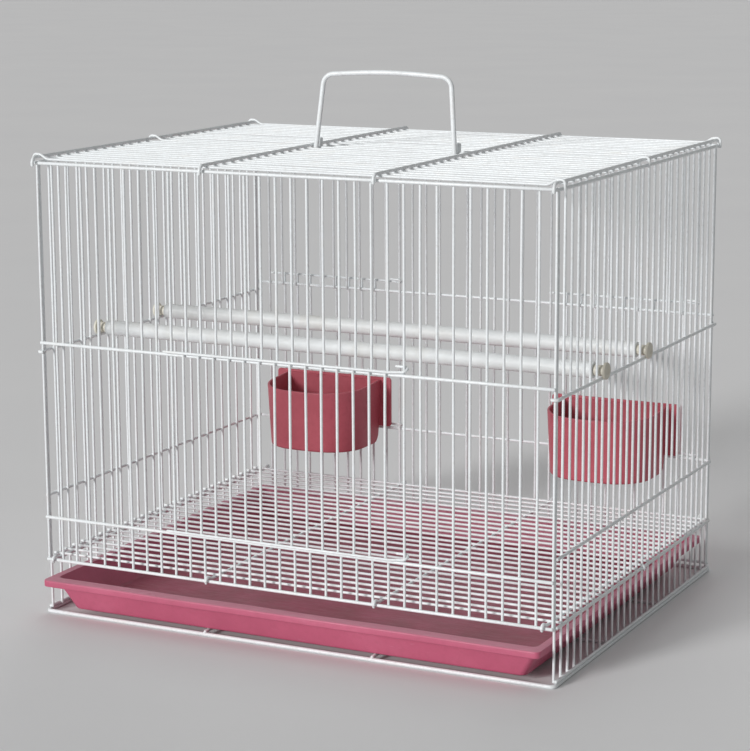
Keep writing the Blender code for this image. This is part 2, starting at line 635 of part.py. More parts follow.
def add_cup(name, columns, shift):
    """Feed cup whose back plate stands on the lower back rail and hooks over it with two lips."""
    middle_x = (front_x(columns[0]) + front_x(columns[1])) / 2
    plate_half = (front_x(columns[1]) - front_x(columns[0])) / 2 - CUP_SIDE_GAP
    bowl_half = plate_half - CUP_FLANGE
    plate_low = RAIL_R + SEAT
    plate_high = plate_low + CUP_PLATE_HEIGHT
    plate_back = RAIL_OUT - RAIL_R - SEAT
    bowl_back = -UPRIGHT_R - SEAT
    plate_front = bowl_back - CUP_WELD
    floor = -CUP_HANG
    rim = floor + CUP_HEIGHT + CUP_RIM_RISE
    mesh = bowl_block(bowl_half, CUP_DEPTH, CUP_CORNER_R, floor, rim)
    hollow = bowl_block(bowl_half - CUP_WALL, CUP_DEPTH - 2 * CUP_WALL, CUP_CORNER_R - CUP_WALL,
                        floor + CUP_WALL, rim + CUP_WALL)
    hollow.transform(Matrix.Translation((0.0, -CUP_WALL, 0.0)))
    mesh = combine(mesh, hollow, "DIFFERENCE")
    mesh = combine(mesh, rim_trim(bowl_half, rim), "DIFFERENCE")
    mesh.transform(Matrix.Translation((0.0, bowl_back, 0.0)))
    corners = [(-plate_half, plate_low), (plate_half, plate_low),
               (plate_half, plate_high - CUP_PLATE_CORNER), (plate_half - CUP_PLATE_CORNER, plate_high),
               (CUP_PLATE_CORNER - plate_half, plate_high), (-plate_half, plate_high - CUP_PLATE_CORNER)]
    upright = Matrix.Rotation(math.pi / 2, 4, "X")
    stand = Matrix.Translation((0.0, (plate_front + plate_back) / 2, 0.0)) @ upright
    mesh = combine(mesh, plate_mesh(corners, plate_back - plate_front, stand), "UNION")
    mesh.transform(Matrix.Translation((shift, 0.0, 0.0)))
    lip_in = plate_back - CUP_WELD
    lip_gap = RAIL_FACE + SEAT
    lip_out = lip_gap + LIP_WALL
    lip_low = RAIL_R - LIP_DROP
    lip_top = plate_low + LIP_BRIDGE
    lip = [(lip_in, plate_low + CUP_WELD), (lip_gap, plate_low + CUP_WELD), (lip_gap, lip_low),
           (lip_out, lip_low), (lip_out, lip_top), (lip_in, lip_top)]
    lip_width = FRONT_PITCH - 2 * UPRIGHT_R - 2 * LIP_SIDE_GAP
    turn = Matrix(((0, 0, 1, 0), (1, 0, 0, 0), (0, 1, 0, 0), (0, 0, 0, 1)))
    for side in (-1, 1):
        place = Matrix.Translation((side * LIP_GAPS * FRONT_PITCH, 0.0, 0.0))
        mesh = combine(mesh, plate_mesh(lip, lip_width, place @ turn), "UNION")
    origin = Vector((middle_x, DEPTH / 2, WALL_LOW_RAIL_Z))
    mesh.transform(Matrix.Translation(origin))
    add_part(name, mesh, CUP_COLOUR, PLASTIC_ROUGHNESS, origin)


def main():
    add_front_wall()
    add_back_wall()
    add_side_wall("left_side_panel", -1)
    add_side_wall("right_side_panel", 1)
    add_top_panel()
    add_floor_grid()
    add_base_grid()
    add_doors()
    add_handle()
    add_tray()
    add_perches()
    add_cup("left_feed_cup", LEFT_FEEDER, 0.0)
    add_cup("right_feed_cup", RIGHT_FEEDER, RIGHT_CUP_SHIFT)


main()
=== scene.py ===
"""Looks of the welded-wire bird cage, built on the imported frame."""

import json
import math
import random

import bmesh
import bpy
from mathutils import Matrix, Vector, noise


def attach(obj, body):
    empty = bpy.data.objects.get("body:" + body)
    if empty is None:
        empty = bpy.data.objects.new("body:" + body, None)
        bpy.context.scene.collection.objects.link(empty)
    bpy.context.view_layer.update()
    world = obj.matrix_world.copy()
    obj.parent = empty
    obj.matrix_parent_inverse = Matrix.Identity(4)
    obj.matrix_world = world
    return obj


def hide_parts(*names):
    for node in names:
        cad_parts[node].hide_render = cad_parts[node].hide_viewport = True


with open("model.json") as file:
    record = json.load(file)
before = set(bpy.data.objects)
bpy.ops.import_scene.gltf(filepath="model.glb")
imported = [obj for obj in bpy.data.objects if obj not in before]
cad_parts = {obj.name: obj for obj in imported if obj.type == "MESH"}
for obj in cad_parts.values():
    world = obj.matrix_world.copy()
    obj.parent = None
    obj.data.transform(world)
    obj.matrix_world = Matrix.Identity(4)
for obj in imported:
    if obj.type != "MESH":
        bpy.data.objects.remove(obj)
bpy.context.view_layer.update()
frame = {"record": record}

BODY_OF = {node: body for body, nodes in frame["record"]["behaviour"]["bodies"].items() for node in nodes}
SEED = 11
DRAW = random.Random(SEED)

# Sizes of the CAD model, in metres and degrees
WIDTH = 0.4191
DEPTH = 0.3302
TOP_RAIL_Z = 0.3490
FRONT_GAPS = 33
SIDE_GAPS = 26
UPRIGHT_R = 0.0010
RAIL_R = 0.00125
FRAME_R = 0.0015
HANDLE_R = 0.0020
WELD = 0.0004
PLAY = 0.0004
SEAT = 0.0003
FLOOR_RAIL_Z = 0.0430
FRONT_LOW_RAIL_Z = 0.0765
MID_RAIL_Z = 0.2126
WALL_LOW_RAIL_Z = 0.0925
SIDE_MID_RAIL_Z = 0.2055
FRONT_DOOR = (9, 24)
LEFT_FEEDER = (1, 11)
RIGHT_FEEDER = (22, 32)
LATCH_OVERLAP = 0.0040
FEEDER_TOP_RISE = 0.0080
HINGE_RUN = 0.0100
HINGE_RISE = 0.0030
HINGE_TAIL = 0.0080
HINGE_GRIP = -120.0
CURL_GRIP = -150.0
HOOK_GRIP = -30.0
CROSS_COLUMNS = (FRONT_GAPS // 3, 2 * FRONT_GAPS // 3)
HOOK_ROWS = (0, SIDE_GAPS // 2, SIDE_GAPS)
TOP_STEP = 0.0050
FLOOR_HOOK_ROW = SIDE_GAPS // 2
FLOOR_STEP = 0.0030
BASE_CORNER_R = 0.0030
BASE_RUNNER_X = 0.0700
BASE_CROSS_Y = 0.0550
BASE_RUNNER_END = 0.0008
HANDLE_ROW = SIDE_GAPS // 2
HANDLE_FOOT_X = 0.0594
HANDLE_TAPER = 0.0053
HANDLE_RISE = 0.0573
HANDLE_BOW = 0.0020
HANDLE_CORNER_R = 0.0090
HANDLE_TAIL = 0.0080
HANDLE_LEAN = 5.0
TRAY_HEIGHT = 0.0250
TRAY_OVERHANG = 0.0160
TRAY_SIDE_GAP = 0.0025
TRAY_SIDE_FLANGE = 0.0047
TRAY_END_FLANGE = 0.0094
TRAY_LIP = 0.0050
TRAY_SIDE_DRAFT = 0.0128
TRAY_END_DRAFT = 0.0080
TRAY_RIM_R = 0.0040
TRAY_CORNER_R = 0.0050
TRAY_WALL = 0.0018
PERCH_SPACES = (6, 13)
PERCH_R = 0.0060
PERCH_BORE_R = 0.0034
PERCH_END_GAP = 0.0034
NECK_SIDE_GAP = 0.0013
PLUG_RAIL_GAP = 0.0005
PLUG_HEAD = 0.0024
PLUG_HEAD_R = 0.0062
PLUG_SPIGOT = 0.0120
CUP_SIDE_GAP = 0.0078
CUP_FLANGE = 0.0097
RIGHT_CUP_SHIFT = -0.0050
CUP_PLATE_HEIGHT = 0.0430
CUP_PLATE_CORNER = 0.0030
CUP_DEPTH = 0.0620
CUP_HEIGHT = 0.0520
CUP_RIM_RISE = 0.0040
CUP_HANG = 0.0135
CUP_WALL = 0.0020
CUP_CORNER_R = 0.0340
CUP_BOW = 0.0030
CUP_DRAFT = 0.0028
LIP_GAPS = 2.5
LIP_SIDE_GAP = 0.0018
LIP_WALL = 0.0013
LIP_DROP = 0.0060
LIP_BRIDGE = 0.0020

# Layers that follow from those sizes
FRONT_PITCH = WIDTH / FRONT_GAPS
CORNER_STEP = 2 * UPRIGHT_R + PLAY
SIDE_PITCH = (DEPTH - 2 * CORNER_STEP) / SIDE_GAPS
RAIL_OUT = UPRIGHT_R + RAIL_R - WELD
RAIL_FACE = RAIL_OUT + RAIL_R
RAIL_X = WIDTH / 2 + RAIL_OUT
RAIL_Y = DEPTH / 2 + RAIL_OUT
CURL_R = UPRIGHT_R + PLAY + RAIL_R
HINGE_R = 2 * UPRIGHT_R + PLAY
DOOR_OUT = RAIL_FACE + PLAY + UPRIGHT_R
DOOR_FRAME_OUT = DOOR_OUT + 2 * UPRIGHT_R - WELD
ROW_Z = TOP_RAIL_Z + RAIL_R + PLAY + UPRIGHT_R
CROSS_Z = ROW_Z + UPRIGHT_R + RAIL_R - WELD
FLOOR_HOOK_R = 2 * RAIL_R + PLAY
FLOOR_ROW_Z = FLOOR_RAIL_Z + RAIL_R + PLAY + UPRIGHT_R
FLOOR_RUNNER_Z = FLOOR_ROW_Z - UPRIGHT_R - RAIL_R + WELD
FRAME_Z = FRAME_R * math.cos(math.pi / 6)
BASE_RUNNER_Z = 2 * FRAME_Z + RAIL_R - WELD
BASE_TOP = BASE_RUNNER_Z + RAIL_R
SIDE_FOOT_Z = 2 * FRAME_Z + SEAT + RAIL_R
BACK_FOOT_Z = BASE_TOP + SEAT + RAIL_R
BACK_REACH = RAIL_OUT + (CROSS_Z - TOP_RAIL_Z) + RAIL_R
CAGE_Y = (TRAY_OVERHANG - BACK_REACH) / 2

# How the drawn wire differs from a perfect tube
ARC_STEP = 12.0             # degrees between the points of a bend
WIRE_RING = 4               # curve bevel resolution: twelve sides
WOBBLE = 0.00025            # sideways wander of a wire between two welds
TIP = 0.0007                # length of the rounded drop of coating at a wire's end
TIP_SHAPE = ((0.0, 0.35), (0.3, 0.78), (1.0, 1.0))  # shares of that length and of the radius
BEAD_RISE = 0.00042         # how far the coating fills the corners of a weld
BEAD_VARY = 0.10            # share by which beads differ in size
BEAD_FLAT = 0.95            # height of a bead as a share of the thin wire's radius
BEAD_DETAIL = 2             # subdivisions of a bead's icosphere
LONG_SPAN = 0.130           # span over which a wire wanders fully
SHORT_SHARE = 0.15          # a span under this share of it stays straight
SPAN_POINTS = 5
RAIL_BOW = 0.00015          # sideways wander of a rail
HANDLE_TRIM = 0.00006       # keeps the handle's rounder wire inside the CAD box
BOW_POINTS = 11             # points along the bowed top bar of the handle
HOOK_TAIL = 0.0015          # how far a side hook of the top reaches below the rail's middle
CLIMB_RUN = 0.0090          # length over which it climbs to the edge wire
DIP_RUN = 0.0060            # length over which a floor runner dips from the rail it hooks over
SLOPE_STEPS = 8

# How the drawn mouldings differ from the CAD blocks
MOULD_STEP = 12.0           # degrees between the points of a rounded edge
CRISP_ANGLE = math.radians(38.0)
SOFT_STEPS = 3              # faces across a rounded edge of a cup's lip
TRAY_MIDDLE = 0.0120        # flat border of the well's floor before its middle face
TRAY_FLOOR_R = 0.0030       # rounding between the well's floor and its walls
TRAY_EDGE_R = 0.0011        # rounding of the flange's edges
LIP_ROUND = 0.0007          # rounding of its turned-down lip
TRAY_SPANS = 20             # pieces of each straight side of the tray
TRAY_WARP = 0.0007          # how far the flange waves up and down
WARP_SCALE = 14.0
CUP_MIDDLE = 0.0100         # flat border of a bowl's floor before its middle face
CUP_FLOOR_R = 0.0050
CUP_BASE_R = 0.0020
CUP_HEEL_R = 0.0090         # rounding of the bowl where its bottom meets its back
SECTION_STEP = 0.0025       # longest step along a bowl's section
CUP_EDGE_R = 0.0008         # rounding of a bowl's rim
CUP_NOSE_R = 0.1200         # rounding of the middle of a bowl's front
CUP_SPANS = 6               # pieces of each flank of a bowl
PLATE_EDGE = 0.0005
TURN_SIDES = 40             # flats round a rod or a plug
ROD_EDGE = 0.0008
ROD_EASE = ROD_EDGE / 4     # the middle point of a rod's rounded edge
ROD_RINGS = 90
ROD_WAVER = 0.00006         # how far a rod's radius varies along its length
PLUG_EASE = 0.0004
PLUG_CROWN = 0.0010         # height of the domed edge of a plug's head
PLUG_CROWN_IN = 0.0016      # and how far it draws in
PLUG_DIMPLE_R = 0.0024
CROWN_STEPS = 5

# Colours, in linear light; a tuple of pairs is a ramp of (place, colour)
WIRE_COLOURS = ((0.30, (0.79, 0.82, 0.83)), (0.55, (0.85, 0.885, 0.90)), (0.75, (0.83, 0.84, 0.83)))
WIRE_DULL = (0.62, 0.62, 0.60)
WIRE_SPECK = (0.40, 0.38, 0.34)
TRAY_COLOURS = ((0.30, (0.46, 0.092, 0.163)), (0.55, (0.52, 0.108, 0.188)), (0.75, (0.56, 0.130, 0.216)))
TRAY_DULL = (0.41, 0.090, 0.142)
# pale pink of rubbed marks on the tray, and also of the painted top light on its flange
TRAY_SCUFF_AND_TOP_LIGHT = (0.64, 0.28, 0.36)
# painted shade: dark brown laid over the floor and low walls of the tray's well
TRAY_WELL_PAINTED_SHADE = (0.20, 0.055, 0.062)
CUP_COLOURS = ((0.30, (0.46, 0.084, 0.114)), (0.55, (0.54, 0.110, 0.146)), (0.75, (0.59, 0.135, 0.177)))
CUP_DULL = (0.40, 0.072, 0.096)
CUP_SCUFF = (0.60, 0.23, 0.27)
ROD_COLOURS = ((0.30, (0.69, 0.70, 0.69)), (0.52, (0.77, 0.79, 0.79)), (0.75, (0.80, 0.83, 0.84)))
ROD_STAIN = (0.64, 0.62, 0.56)
PLUG_COLOURS = ((0.30, (0.60, 0.57, 0.48)), (0.55, (0.67, 0.64, 0.55)), (0.75, (0.73, 0.71, 0.63)))
PLUG_STAIN = (0.48, 0.44, 0.34)
FLOOR_COLOURS = ((0.30, (0.79, 0.79, 0.793)), (0.70, (0.81, 0.81, 0.81)))

# Grain of the finishes: (scale, detail, roughness) of a noise
WIRE_CLOUD = (38.0, 4.0, 0.55)
WIRE_FINE = (420.0, 3.0, 0.55)
WIRE_SPECKS = (900.0, 2.0, 0.60)
MOULD_CLOUD = (16.0, 5.0, 0.60)
MOULD_GRAIN = (2200.0, 2.0, 0.55)
MOULD_MARKS = (60.0, 6.0, 0.75)
MOULD_SPOTS = (240.0, 3.0, 0.55)
# cloudiness of the painted shade in the tray's well
WELL_SHADE_CLOUD = (22.0, 5.0, 0.65)
ROD_STREAKS = (90.0, 5.0, 0.65)
ROD_PATCHES = (30.0, 4.0, 0.60)
ROD_GRAIN = (1500.0, 2.0, 0.55)
FLOOR_CLOUD = (3.0, 4.0, 0.55)
FLOOR_PATCHES = (25.0, 3.0, 0.55)
FLOOR_GRAIN = (400.0, 3.0, 0.55)
MARK_STRETCH = (1.0, 9.0, 9.0)    # draws rubbed marks out along the cage's width
ROD_STRETCH = (0.06, 1.0, 1.0)    # draws streaks out along a rod
PLUG_STRETCH = (1.0, 1.0, 1.0)

# Ranges of a noise, a height in metres or a tilt and what they map to: (low, high, at low, at high)
WIRE_DULLING = (0.45, 0.75, 0.0, 0.35)
WIRE_SPECKLING = (0.68, 0.76, 0.0, 0.45)
WIRE_ROUGHNESS = (0.30, 0.70, 0.26, 0.46)
MOULD_DULLING = (0.50, 0.75, 0.0, 0.30)
MOULD_SCUFFING = (0.62, 0.72, 0.0, 0.35)
MOULD_ROUGHNESS = (0.35, 0.70, 0.34, 0.58)
# painted shade in the tray's well: how strongly each cloudy patch is darkened
WELL_SHADE_PATCHES = (0.30, 0.70, 0.25, 0.75)
WELL_SHADE_HEIGHTS = (0.010, 0.022, 1.0, 0.0)  # painted shade in the well fades out up its walls
WELL_SHADE_TILT = (0.35, 0.80, 0.0, 1.0)       # and lies where the surface turns up
FLANGE_TOP_LIGHT_HEIGHTS = (0.026, 0.029, 0.0, 0.60)  # painted top light: the flange's top is paler
FLANGE_TOP_LIGHT_TILT = (0.60, 0.95, 0.0, 1.0)
ROD_STAINING = (0.50, 0.72, 0.0, 0.45)
ROD_ROUGHNESS = (0.30, 0.70, 0.38, 0.60)
FLOOR_ROUGHNESS = (0.30, 0.70, 0.75, 0.90)

# Fine relief: (strength, distance in metres) of a bump
WIRE_FINE_BUMP = (0.22, 0.0004)
WIRE_SPECK_BUMP = (0.18, 0.0002)
MOULD_MARK_BUMP = (0.10, 0.0003)
MOULD_GRAIN_BUMP = (0.12, 0.0002)
ROD_STREAK_BUMP = (0.25, 0.0004)
ROD_GRAIN_BUMP = (0.15, 0.0002)
FLOOR_BUMP = (0.02, 0.0005)
COATING_IOR = 1.5
PLASTIC_IOR = 1.49

# Stage: directions in which the lamps shine, and the camera fitted to the photograph
FLOOR_HALF = 60.0
WORLD_COLOUR = (1.0, 1.0, 1.0, 1.0)
WORLD_LEVEL = 0.22
BACKDROP_COLOUR = (0.48, 0.48, 0.48, 1.0)
KEY_WAY = (0.34, 0.88, -0.28)
KEY_LEVEL = 2.45
KEY_SPREAD = 14.0
FILL_WAY = (0.15, 0.10, -1.00)
FILL_LEVEL = 0.22
FILL_SPREAD = 60.0
BACK_WAY = (0.30, -0.92, -0.22)
BACK_LEVEL = 1.30
BACK_SPREAD = 40.0
CAMERA_PLACE = (0.79667, -1.60000, 0.52916)
CAMERA_AHEAD = (-0.4410, 0.8763, -0.1939)
CAMERA_RIGHT = (0.8936, 0.4487, -0.0045)
CAMERA_FOCAL = 2327.8       # pixels
IMAGE_SIDE = 751
SENSOR = 36.0               # millimetres


def front_x(column):
    """X of an upright in the front or the back wall."""
    return -WIDTH / 2 + column * FRONT_PITCH


def side_y(row):
    """Y of an upright in a side wall."""
    return -DEPTH / 2 + CORNER_STEP + row * SIDE_PITCH


def arc(centre, across, up, radius, start, end):
    """Points of an arc in the plane of two axes, between two angles in degrees."""
    count = max(2, math.ceil(abs(end - start) / ARC_STEP))
    points = []
    for k in range(count + 1):
        angle = math.radians(start + (end - start) * k / count)
        reach = Vector(across) * math.cos(angle) + Vector(up) * math.sin(angle)
        points.append(Vector(centre) + reach * radius)
    return points


def fillet(before, corner, after, radius, step=ARC_STEP):
    """Points of the arc that rounds off a corner of a path."""
    corner = Vector(corner)
    back = (Vector(before) - corner).normalized()
    ahead = (Vector(after) - corner).normalized()
    half = back.angle(ahead) / 2
    centre = corner + (back + ahead).normalized() * radius / math.sin(half)
    first = (corner + back * radius / math.tan(half) - centre).normalized()
    last = (corner + ahead * radius / math.tan(half) - centre).normalized()
    count = max(2, math.ceil(math.degrees(math.pi - 2 * half) / step))
    return [centre + first.slerp(last, k / count) * radius for k in range(count + 1)]


def rounded_outline(half_x, half_y, radius, step=ARC_STEP):
    """Points of a rounded rectangle about the origin."""
    corners = [(half_x, half_y, 0.0), (-half_x, half_y, 0.0),
               (-half_x, -half_y, 0.0), (half_x, -half_y, 0.0)]
    points = []
    for k, corner in enumerate(corners):
        points += fillet(corners[k - 1], corner, corners[(k + 1) % len(corners)], radius, step)
    return points


# Wire pieces
def place(name, mesh, node, material):
    """Finished piece that stands for a CAD node and moves with its body."""
    mesh.transform(Matrix.Translation((0.0, CAGE_Y, 0.0)))
    mesh.materials.clear()
    mesh.materials.append(material)
    item = bpy.data.objects.new(name, mesh)
    bpy.context.scene.collection.objects.link(item)
    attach(item, BODY_OF[node])
    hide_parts(node)


def strand(start, end, welds, wander=WOBBLE):
    """Points of a straight wire that wanders a little between its welds, given as fractions."""
    start = Vector(start)
    run = Vector(end) - start
    side = run.orthogonal().normalized()
    other = run.cross(side).normalized()
    stops = sorted({0.0, 1.0, *(w for w in welds if 0.0 < w < 1.0)})
    points = [start]
    for low, high in zip(stops, stops[1:]):
        share = min(1.0, (high - low) * run.length / LONG_SPAN)
        lean = side * DRAW.uniform(-1, 1) + other * DRAW.uniform(-1, 1)
        if share > SHORT_SHARE:
            for k in range(1, SPAN_POINTS):
                part = k / SPAN_POINTS
                bow = lean * wander * share * math.sin(math.pi * part)
                points.append(start + run * (low + (high - low) * part) + bow)
        points.append(start + run * high)
    return points


def drop_tips(points, radius):
    """Points and radii of a wire with a rounded drop of coating at each end."""
    points = [Vector(point) for point in points]
    drops = []
    for tip, inner in ((points[0], points[1]), (points[-1], points[-2])):
        way = (inner - tip).normalized()
        drops.append([tip + way * (depth * TIP) for depth, _ in TIP_SHAPE])
    shares = [share * radius for _, share in TIP_SHAPE]
    path = drops[0] + points[1:-1] + drops[1][::-1]
    return path, shares + [radius] * (len(points) - 2) + shares[::-1]


def tube_mesh(strands, loops=()):
    """Mesh of round wires: (points, radius) runs with rounded tips, and closed loops."""
    curve = bpy.data.curves.new("wires", "CURVE")
    curve.dimensions = "3D"
    curve.bevel_depth = 1.0
    curve.bevel_resolution = WIRE_RING
    curve.use_fill_caps = True
    runs = [(*drop_tips(points, radius), False) for points, radius in strands]
    runs += [(points, [radius] * len(points), True) for points, radius in loops]
    for points, radii, closed in runs:
        spline = curve.splines.new("POLY")
        spline.points.add(len(points) - 1)
        spline.use_cyclic_u = closed
        for point, spot, radius in zip(spline.points, points, radii):
            point.co = (*spot, 1.0)
            point.radius = radius
    item = bpy.data.objects.new("wires", curve)
    bpy.context.scene.collection.objects.link(item)
    graph = bpy.context.evaluated_depsgraph_get()
    mesh = bpy.data.meshes.new_from_object(item.evaluated_get(graph))
    bpy.data.objects.remove(item)
    return mesh


def with_welds(mesh, welds):
    """Adds a bead of coating at each weld, given as (centre, normal, thin radius)."""
    form = bmesh.new()
    form.from_mesh(mesh)
    for centre, normal, radius in welds:
        turn = Vector((0, 0, 1)).rotation_difference(Vector(normal)).to_matrix().to_4x4()
        swell = 1 + DRAW.uniform(-BEAD_VARY, BEAD_VARY)
        wide = (radius + BEAD_RISE) * swell
        size = Matrix.Diagonal((wide, wide, radius * BEAD_FLAT, 1.0))
        spot = Matrix.Translation(centre) @ turn @ size
        bmesh.ops.create_icosphere(form, subdivisions=BEAD_DETAIL, radius=1.0, matrix=spot)
    form.to_mesh(mesh)
    form.free()
    mesh.shade_smooth()
    return mesh


def crossing(uprights, rails, across, normal, reach):
    """Weld spots where vertical runs meet level ones, on the side of the normal."""
    spots = []
    for low, high in uprights:
        for rail in rails:
            z = rail[0][2]
            inside = low[2] <= z <= high[2]
            start, end = rail[0][across], rail[-1][across]
            if inside and min(start, end) <= low[across] <= max(start, end):
                centre = Vector((low[0], low[1], z)) + Vector(normal) * reach
                spots.append((centre, normal, UPRIGHT_R))
    return spots


def wall_runs(plane_y, outward, rail_heights, windows):
    """Upright runs and rail runs of the front or the back wall, with its door windows left open."""
    uprights = []
    for column in range(FRONT_GAPS + 1):
        x = front_x(column)
        low = min(rail_heights) - RAIL_R
        for (first, last), sill, head in windows:
            if first < column < last:
                uprights.append([(x, plane_y, low), (x, plane_y, sill + RAIL_R)])
                low = head - RAIL_R
        uprights.append([(x, plane_y, low), (x, plane_y, max(rail_heights) + RAIL_R)])
    reach = WIDTH / 2 + UPRIGHT_R
    rail_y = plane_y + outward * RAIL_OUT
    rails = [[(-reach, rail_y, z), (reach, rail_y, z)] for z in rail_heights]
    return uprights, rails


def upright_strands(uprights, heights):
    """Wires along upright runs, held where they meet rails at the heights."""
    runs = []
    for low, high in uprights:
        welds = [(z - low[2]) / (high[2] - low[2]) for z in heights]
        runs.append((strand(low, high, welds), UPRIGHT_R))
    return runs


def rail_strands(rails):
    """Wires along rail runs, bowed a little over their whole length."""
    return [(strand(rail[0], rail[-1], (), RAIL_BOW), RAIL_R) for rail in rails]


def build_wall(node, plane_y, outward, heights, windows, material):
    """Front or back wall of uprights welded to the inner faces of its rails."""
    uprights, rails = wall_runs(plane_y, outward, heights, windows)
    mesh = tube_mesh(upright_strands(uprights, heights) + rail_strands(rails))
    normal = (0, outward, 0)
    spots = crossing(uprights, rails, 0, normal, UPRIGHT_R - WELD / 2)
    place(node + "_wire", with_welds(mesh, spots), node, material)


def curled_side_rail(side):
    """Middle rail of a side wall, curled round the front and the back corner uprights."""
    run = []
    for end in (-1, 1):
        corner = (side * WIDTH / 2, end * DEPTH / 2, SIDE_MID_RAIL_Z)
        curl = arc(corner, (side, 0, 0), (0, -end, 0), CURL_R, 0.0, CURL_GRIP)
        bend_row = 1 if end < 0 else SIDE_GAPS - 1
        end_row = 0 if end < 0 else SIDE_GAPS
        clear = Vector((side * (WIDTH / 2 + CURL_R), side_y(end_row), SIDE_MID_RAIL_Z))
        seat = Vector((side * RAIL_X, side_y(bend_row), SIDE_MID_RAIL_Z))
        half = list(reversed(curl)) + [clear, seat]
        run += half if end < 0 else reversed(half)
    return run


def build_side(node, side, material):
    """Side wall whose middle rail curls round the corner uprights."""
    plane_x = side * WIDTH / 2
    rail_x = side * RAIL_X
    low = SIDE_FOOT_Z - RAIL_R
    high = TOP_RAIL_Z + RAIL_R
    rows = [side_y(row) for row in range(SIDE_GAPS + 1)]
    uprights = [[(plane_x, y, low), (plane_x, y, high)] for y in rows]
    reach = (rows[0] - UPRIGHT_R, rows[-1] + UPRIGHT_R)
    heights = (SIDE_FOOT_Z, FLOOR_RAIL_Z, WALL_LOW_RAIL_Z, SIDE_MID_RAIL_Z, TOP_RAIL_Z)
    rails = [[(rail_x, y, z) for y in reach] for z in heights]
    straight = [rail for rail in rails if rail[0][2] != SIDE_MID_RAIL_Z]
    runs = upright_strands(uprights, heights) + rail_strands(straight)
    runs.append((curled_side_rail(side), RAIL_R))
    normal = (side, 0, 0)
    spots = crossing(uprights, rails, 1, normal, UPRIGHT_R - WELD / 2)
    place(node + "_wire", with_welds(tube_mesh(runs), spots), node, material)


def hooked_run(hook, where):
    """Run with a hook at each end, from a function that gives the hook of one end."""
    first = hook(-1, where)
    last = hook(1, where)
    straight = strand(first[-1], last[-1], (), RAIL_BOW)
    return first[:-1] + straight + last[-2::-1]


def eased(start, end):
    """Points of an S-shaped slope from one point to another, without the first point."""
    points = []
    for k in range(1, SLOPE_STEPS + 1):
        share = k / SLOPE_STEPS
        point = start.lerp(end, share)
        point.z = start.z + (end.z - start.z) * (1 - math.cos(math.pi * share)) / 2
        points.append(point)
    return points


def rail_hook(rail, outward, radius):
    """Hook over a rail, from its tip outside the wall to the top of its bend."""
    return arc(rail, outward, (0, 0, 1), radius, HOOK_GRIP, 90.0)


def top_cross_hook(end, x):
    """Hook of a wire across the top, over the top rail of the front or the back wall."""
    return rail_hook((x, end * RAIL_Y, TOP_RAIL_Z), (0, end, 0), CROSS_Z - TOP_RAIL_Z)


def floor_row_hook(side, y):
    """Hook of a floor wire over the floor rail of a side wall."""
    return rail_hook((side * RAIL_X, y, FLOOR_RAIL_Z), (side, 0, 0), FLOOR_ROW_Z - FLOOR_RAIL_Z)


def floor_runner_hook(end, x):
    """Hook of a floor runner over the front or the back floor rail, with its dip behind the rail."""
    hook = rail_hook((x, end * RAIL_Y, FLOOR_RAIL_Z), (0, end, 0), FLOOR_HOOK_R)
    foot = Vector((x, end * (RAIL_Y - DIP_RUN), FLOOR_RUNNER_Z))
    return hook + eased(hook[-1], foot)


def top_row_hook(side, y):
    """Hook of a top wire that climbs over the edge wire and turns down round a side wall's top rail."""
    over = CROSS_Z + RAIL_R + UPRIGHT_R - WELD
    radius = ROW_Z - TOP_RAIL_Z
    bend = Vector((side * RAIL_X, y, over - radius))
    tip = bend + Vector((side * radius, 0, TOP_RAIL_Z - HOOK_TAIL - bend.z))
    crest = Vector((side * WIDTH / 2, y, over))
    foot = Vector((side * (WIDTH / 2 - CLIMB_RUN), y, ROW_Z))
    return [tip] + arc(bend, (side, 0, 0), (0, 0, 1), radius, 0.0, 90.0) + eased(crest, foot)


def build_top(material):
    """Top wires with wires across them, hooked over the rails of the four walls."""
    runs = []
    spots = []
    inner = [front_x(column) + TOP_STEP for column in CROSS_COLUMNS]
    lines = (-WIDTH / 2, *inner, WIDTH / 2)
    stops = [(x + WIDTH / 2) / WIDTH for x in lines]
    for row in range(SIDE_GAPS + 1):
        y = side_y(row)
        if row in HOOK_ROWS:
            runs.append((hooked_run(top_row_hook, y), UPRIGHT_R))
        else:
            reach = WIDTH / 2 + RAIL_R
            runs.append((strand((-reach, y, ROW_Z), (reach, y, ROW_Z), stops), UPRIGHT_R))
        for x in lines:
            over = row in HOOK_ROWS and abs(x) == WIDTH / 2
            weld_z = CROSS_Z + RAIL_R - WELD / 2 if over else ROW_Z + UPRIGHT_R - WELD / 2
            spots.append((Vector((x, y, weld_z)), (0, 0, 1), UPRIGHT_R))
    runs += [(hooked_run(top_cross_hook, x), RAIL_R) for x in lines]
    mesh = with_welds(tube_mesh(runs), spots)
    place("top_panel_wire", mesh, "top_panel", material)


def build_floor_grid(material):
    """Floor wires that reach over the side rails, on runners hooked over the front and the back rails."""
    inner = [front_x(column) + FLOOR_STEP for column in CROSS_COLUMNS]
    lines = (front_x(0.5), *inner, front_x(FRONT_GAPS - 0.5))
    stops = [(x + RAIL_X) / (2 * RAIL_X) for x in lines]
    runs = []
    spots = []
    for row in range(SIDE_GAPS):
        y = side_y(row + 0.5)
        if row == FLOOR_HOOK_ROW:
            runs.append((hooked_run(floor_row_hook, y), UPRIGHT_R))
        else:
            runs.append((strand((-RAIL_X, y, FLOOR_ROW_Z), (RAIL_X, y, FLOOR_ROW_Z), stops), UPRIGHT_R))
        for x in lines:
            spots.append((Vector((x, y, FLOOR_ROW_Z - UPRIGHT_R + WELD / 2)), (0, 0, 1), UPRIGHT_R))
    runs += [(hooked_run(floor_runner_hook, x), RAIL_R) for x in lines]
    mesh = with_welds(tube_mesh(runs), spots)
    place("floor_grid_wire", mesh, "floor_grid", material)


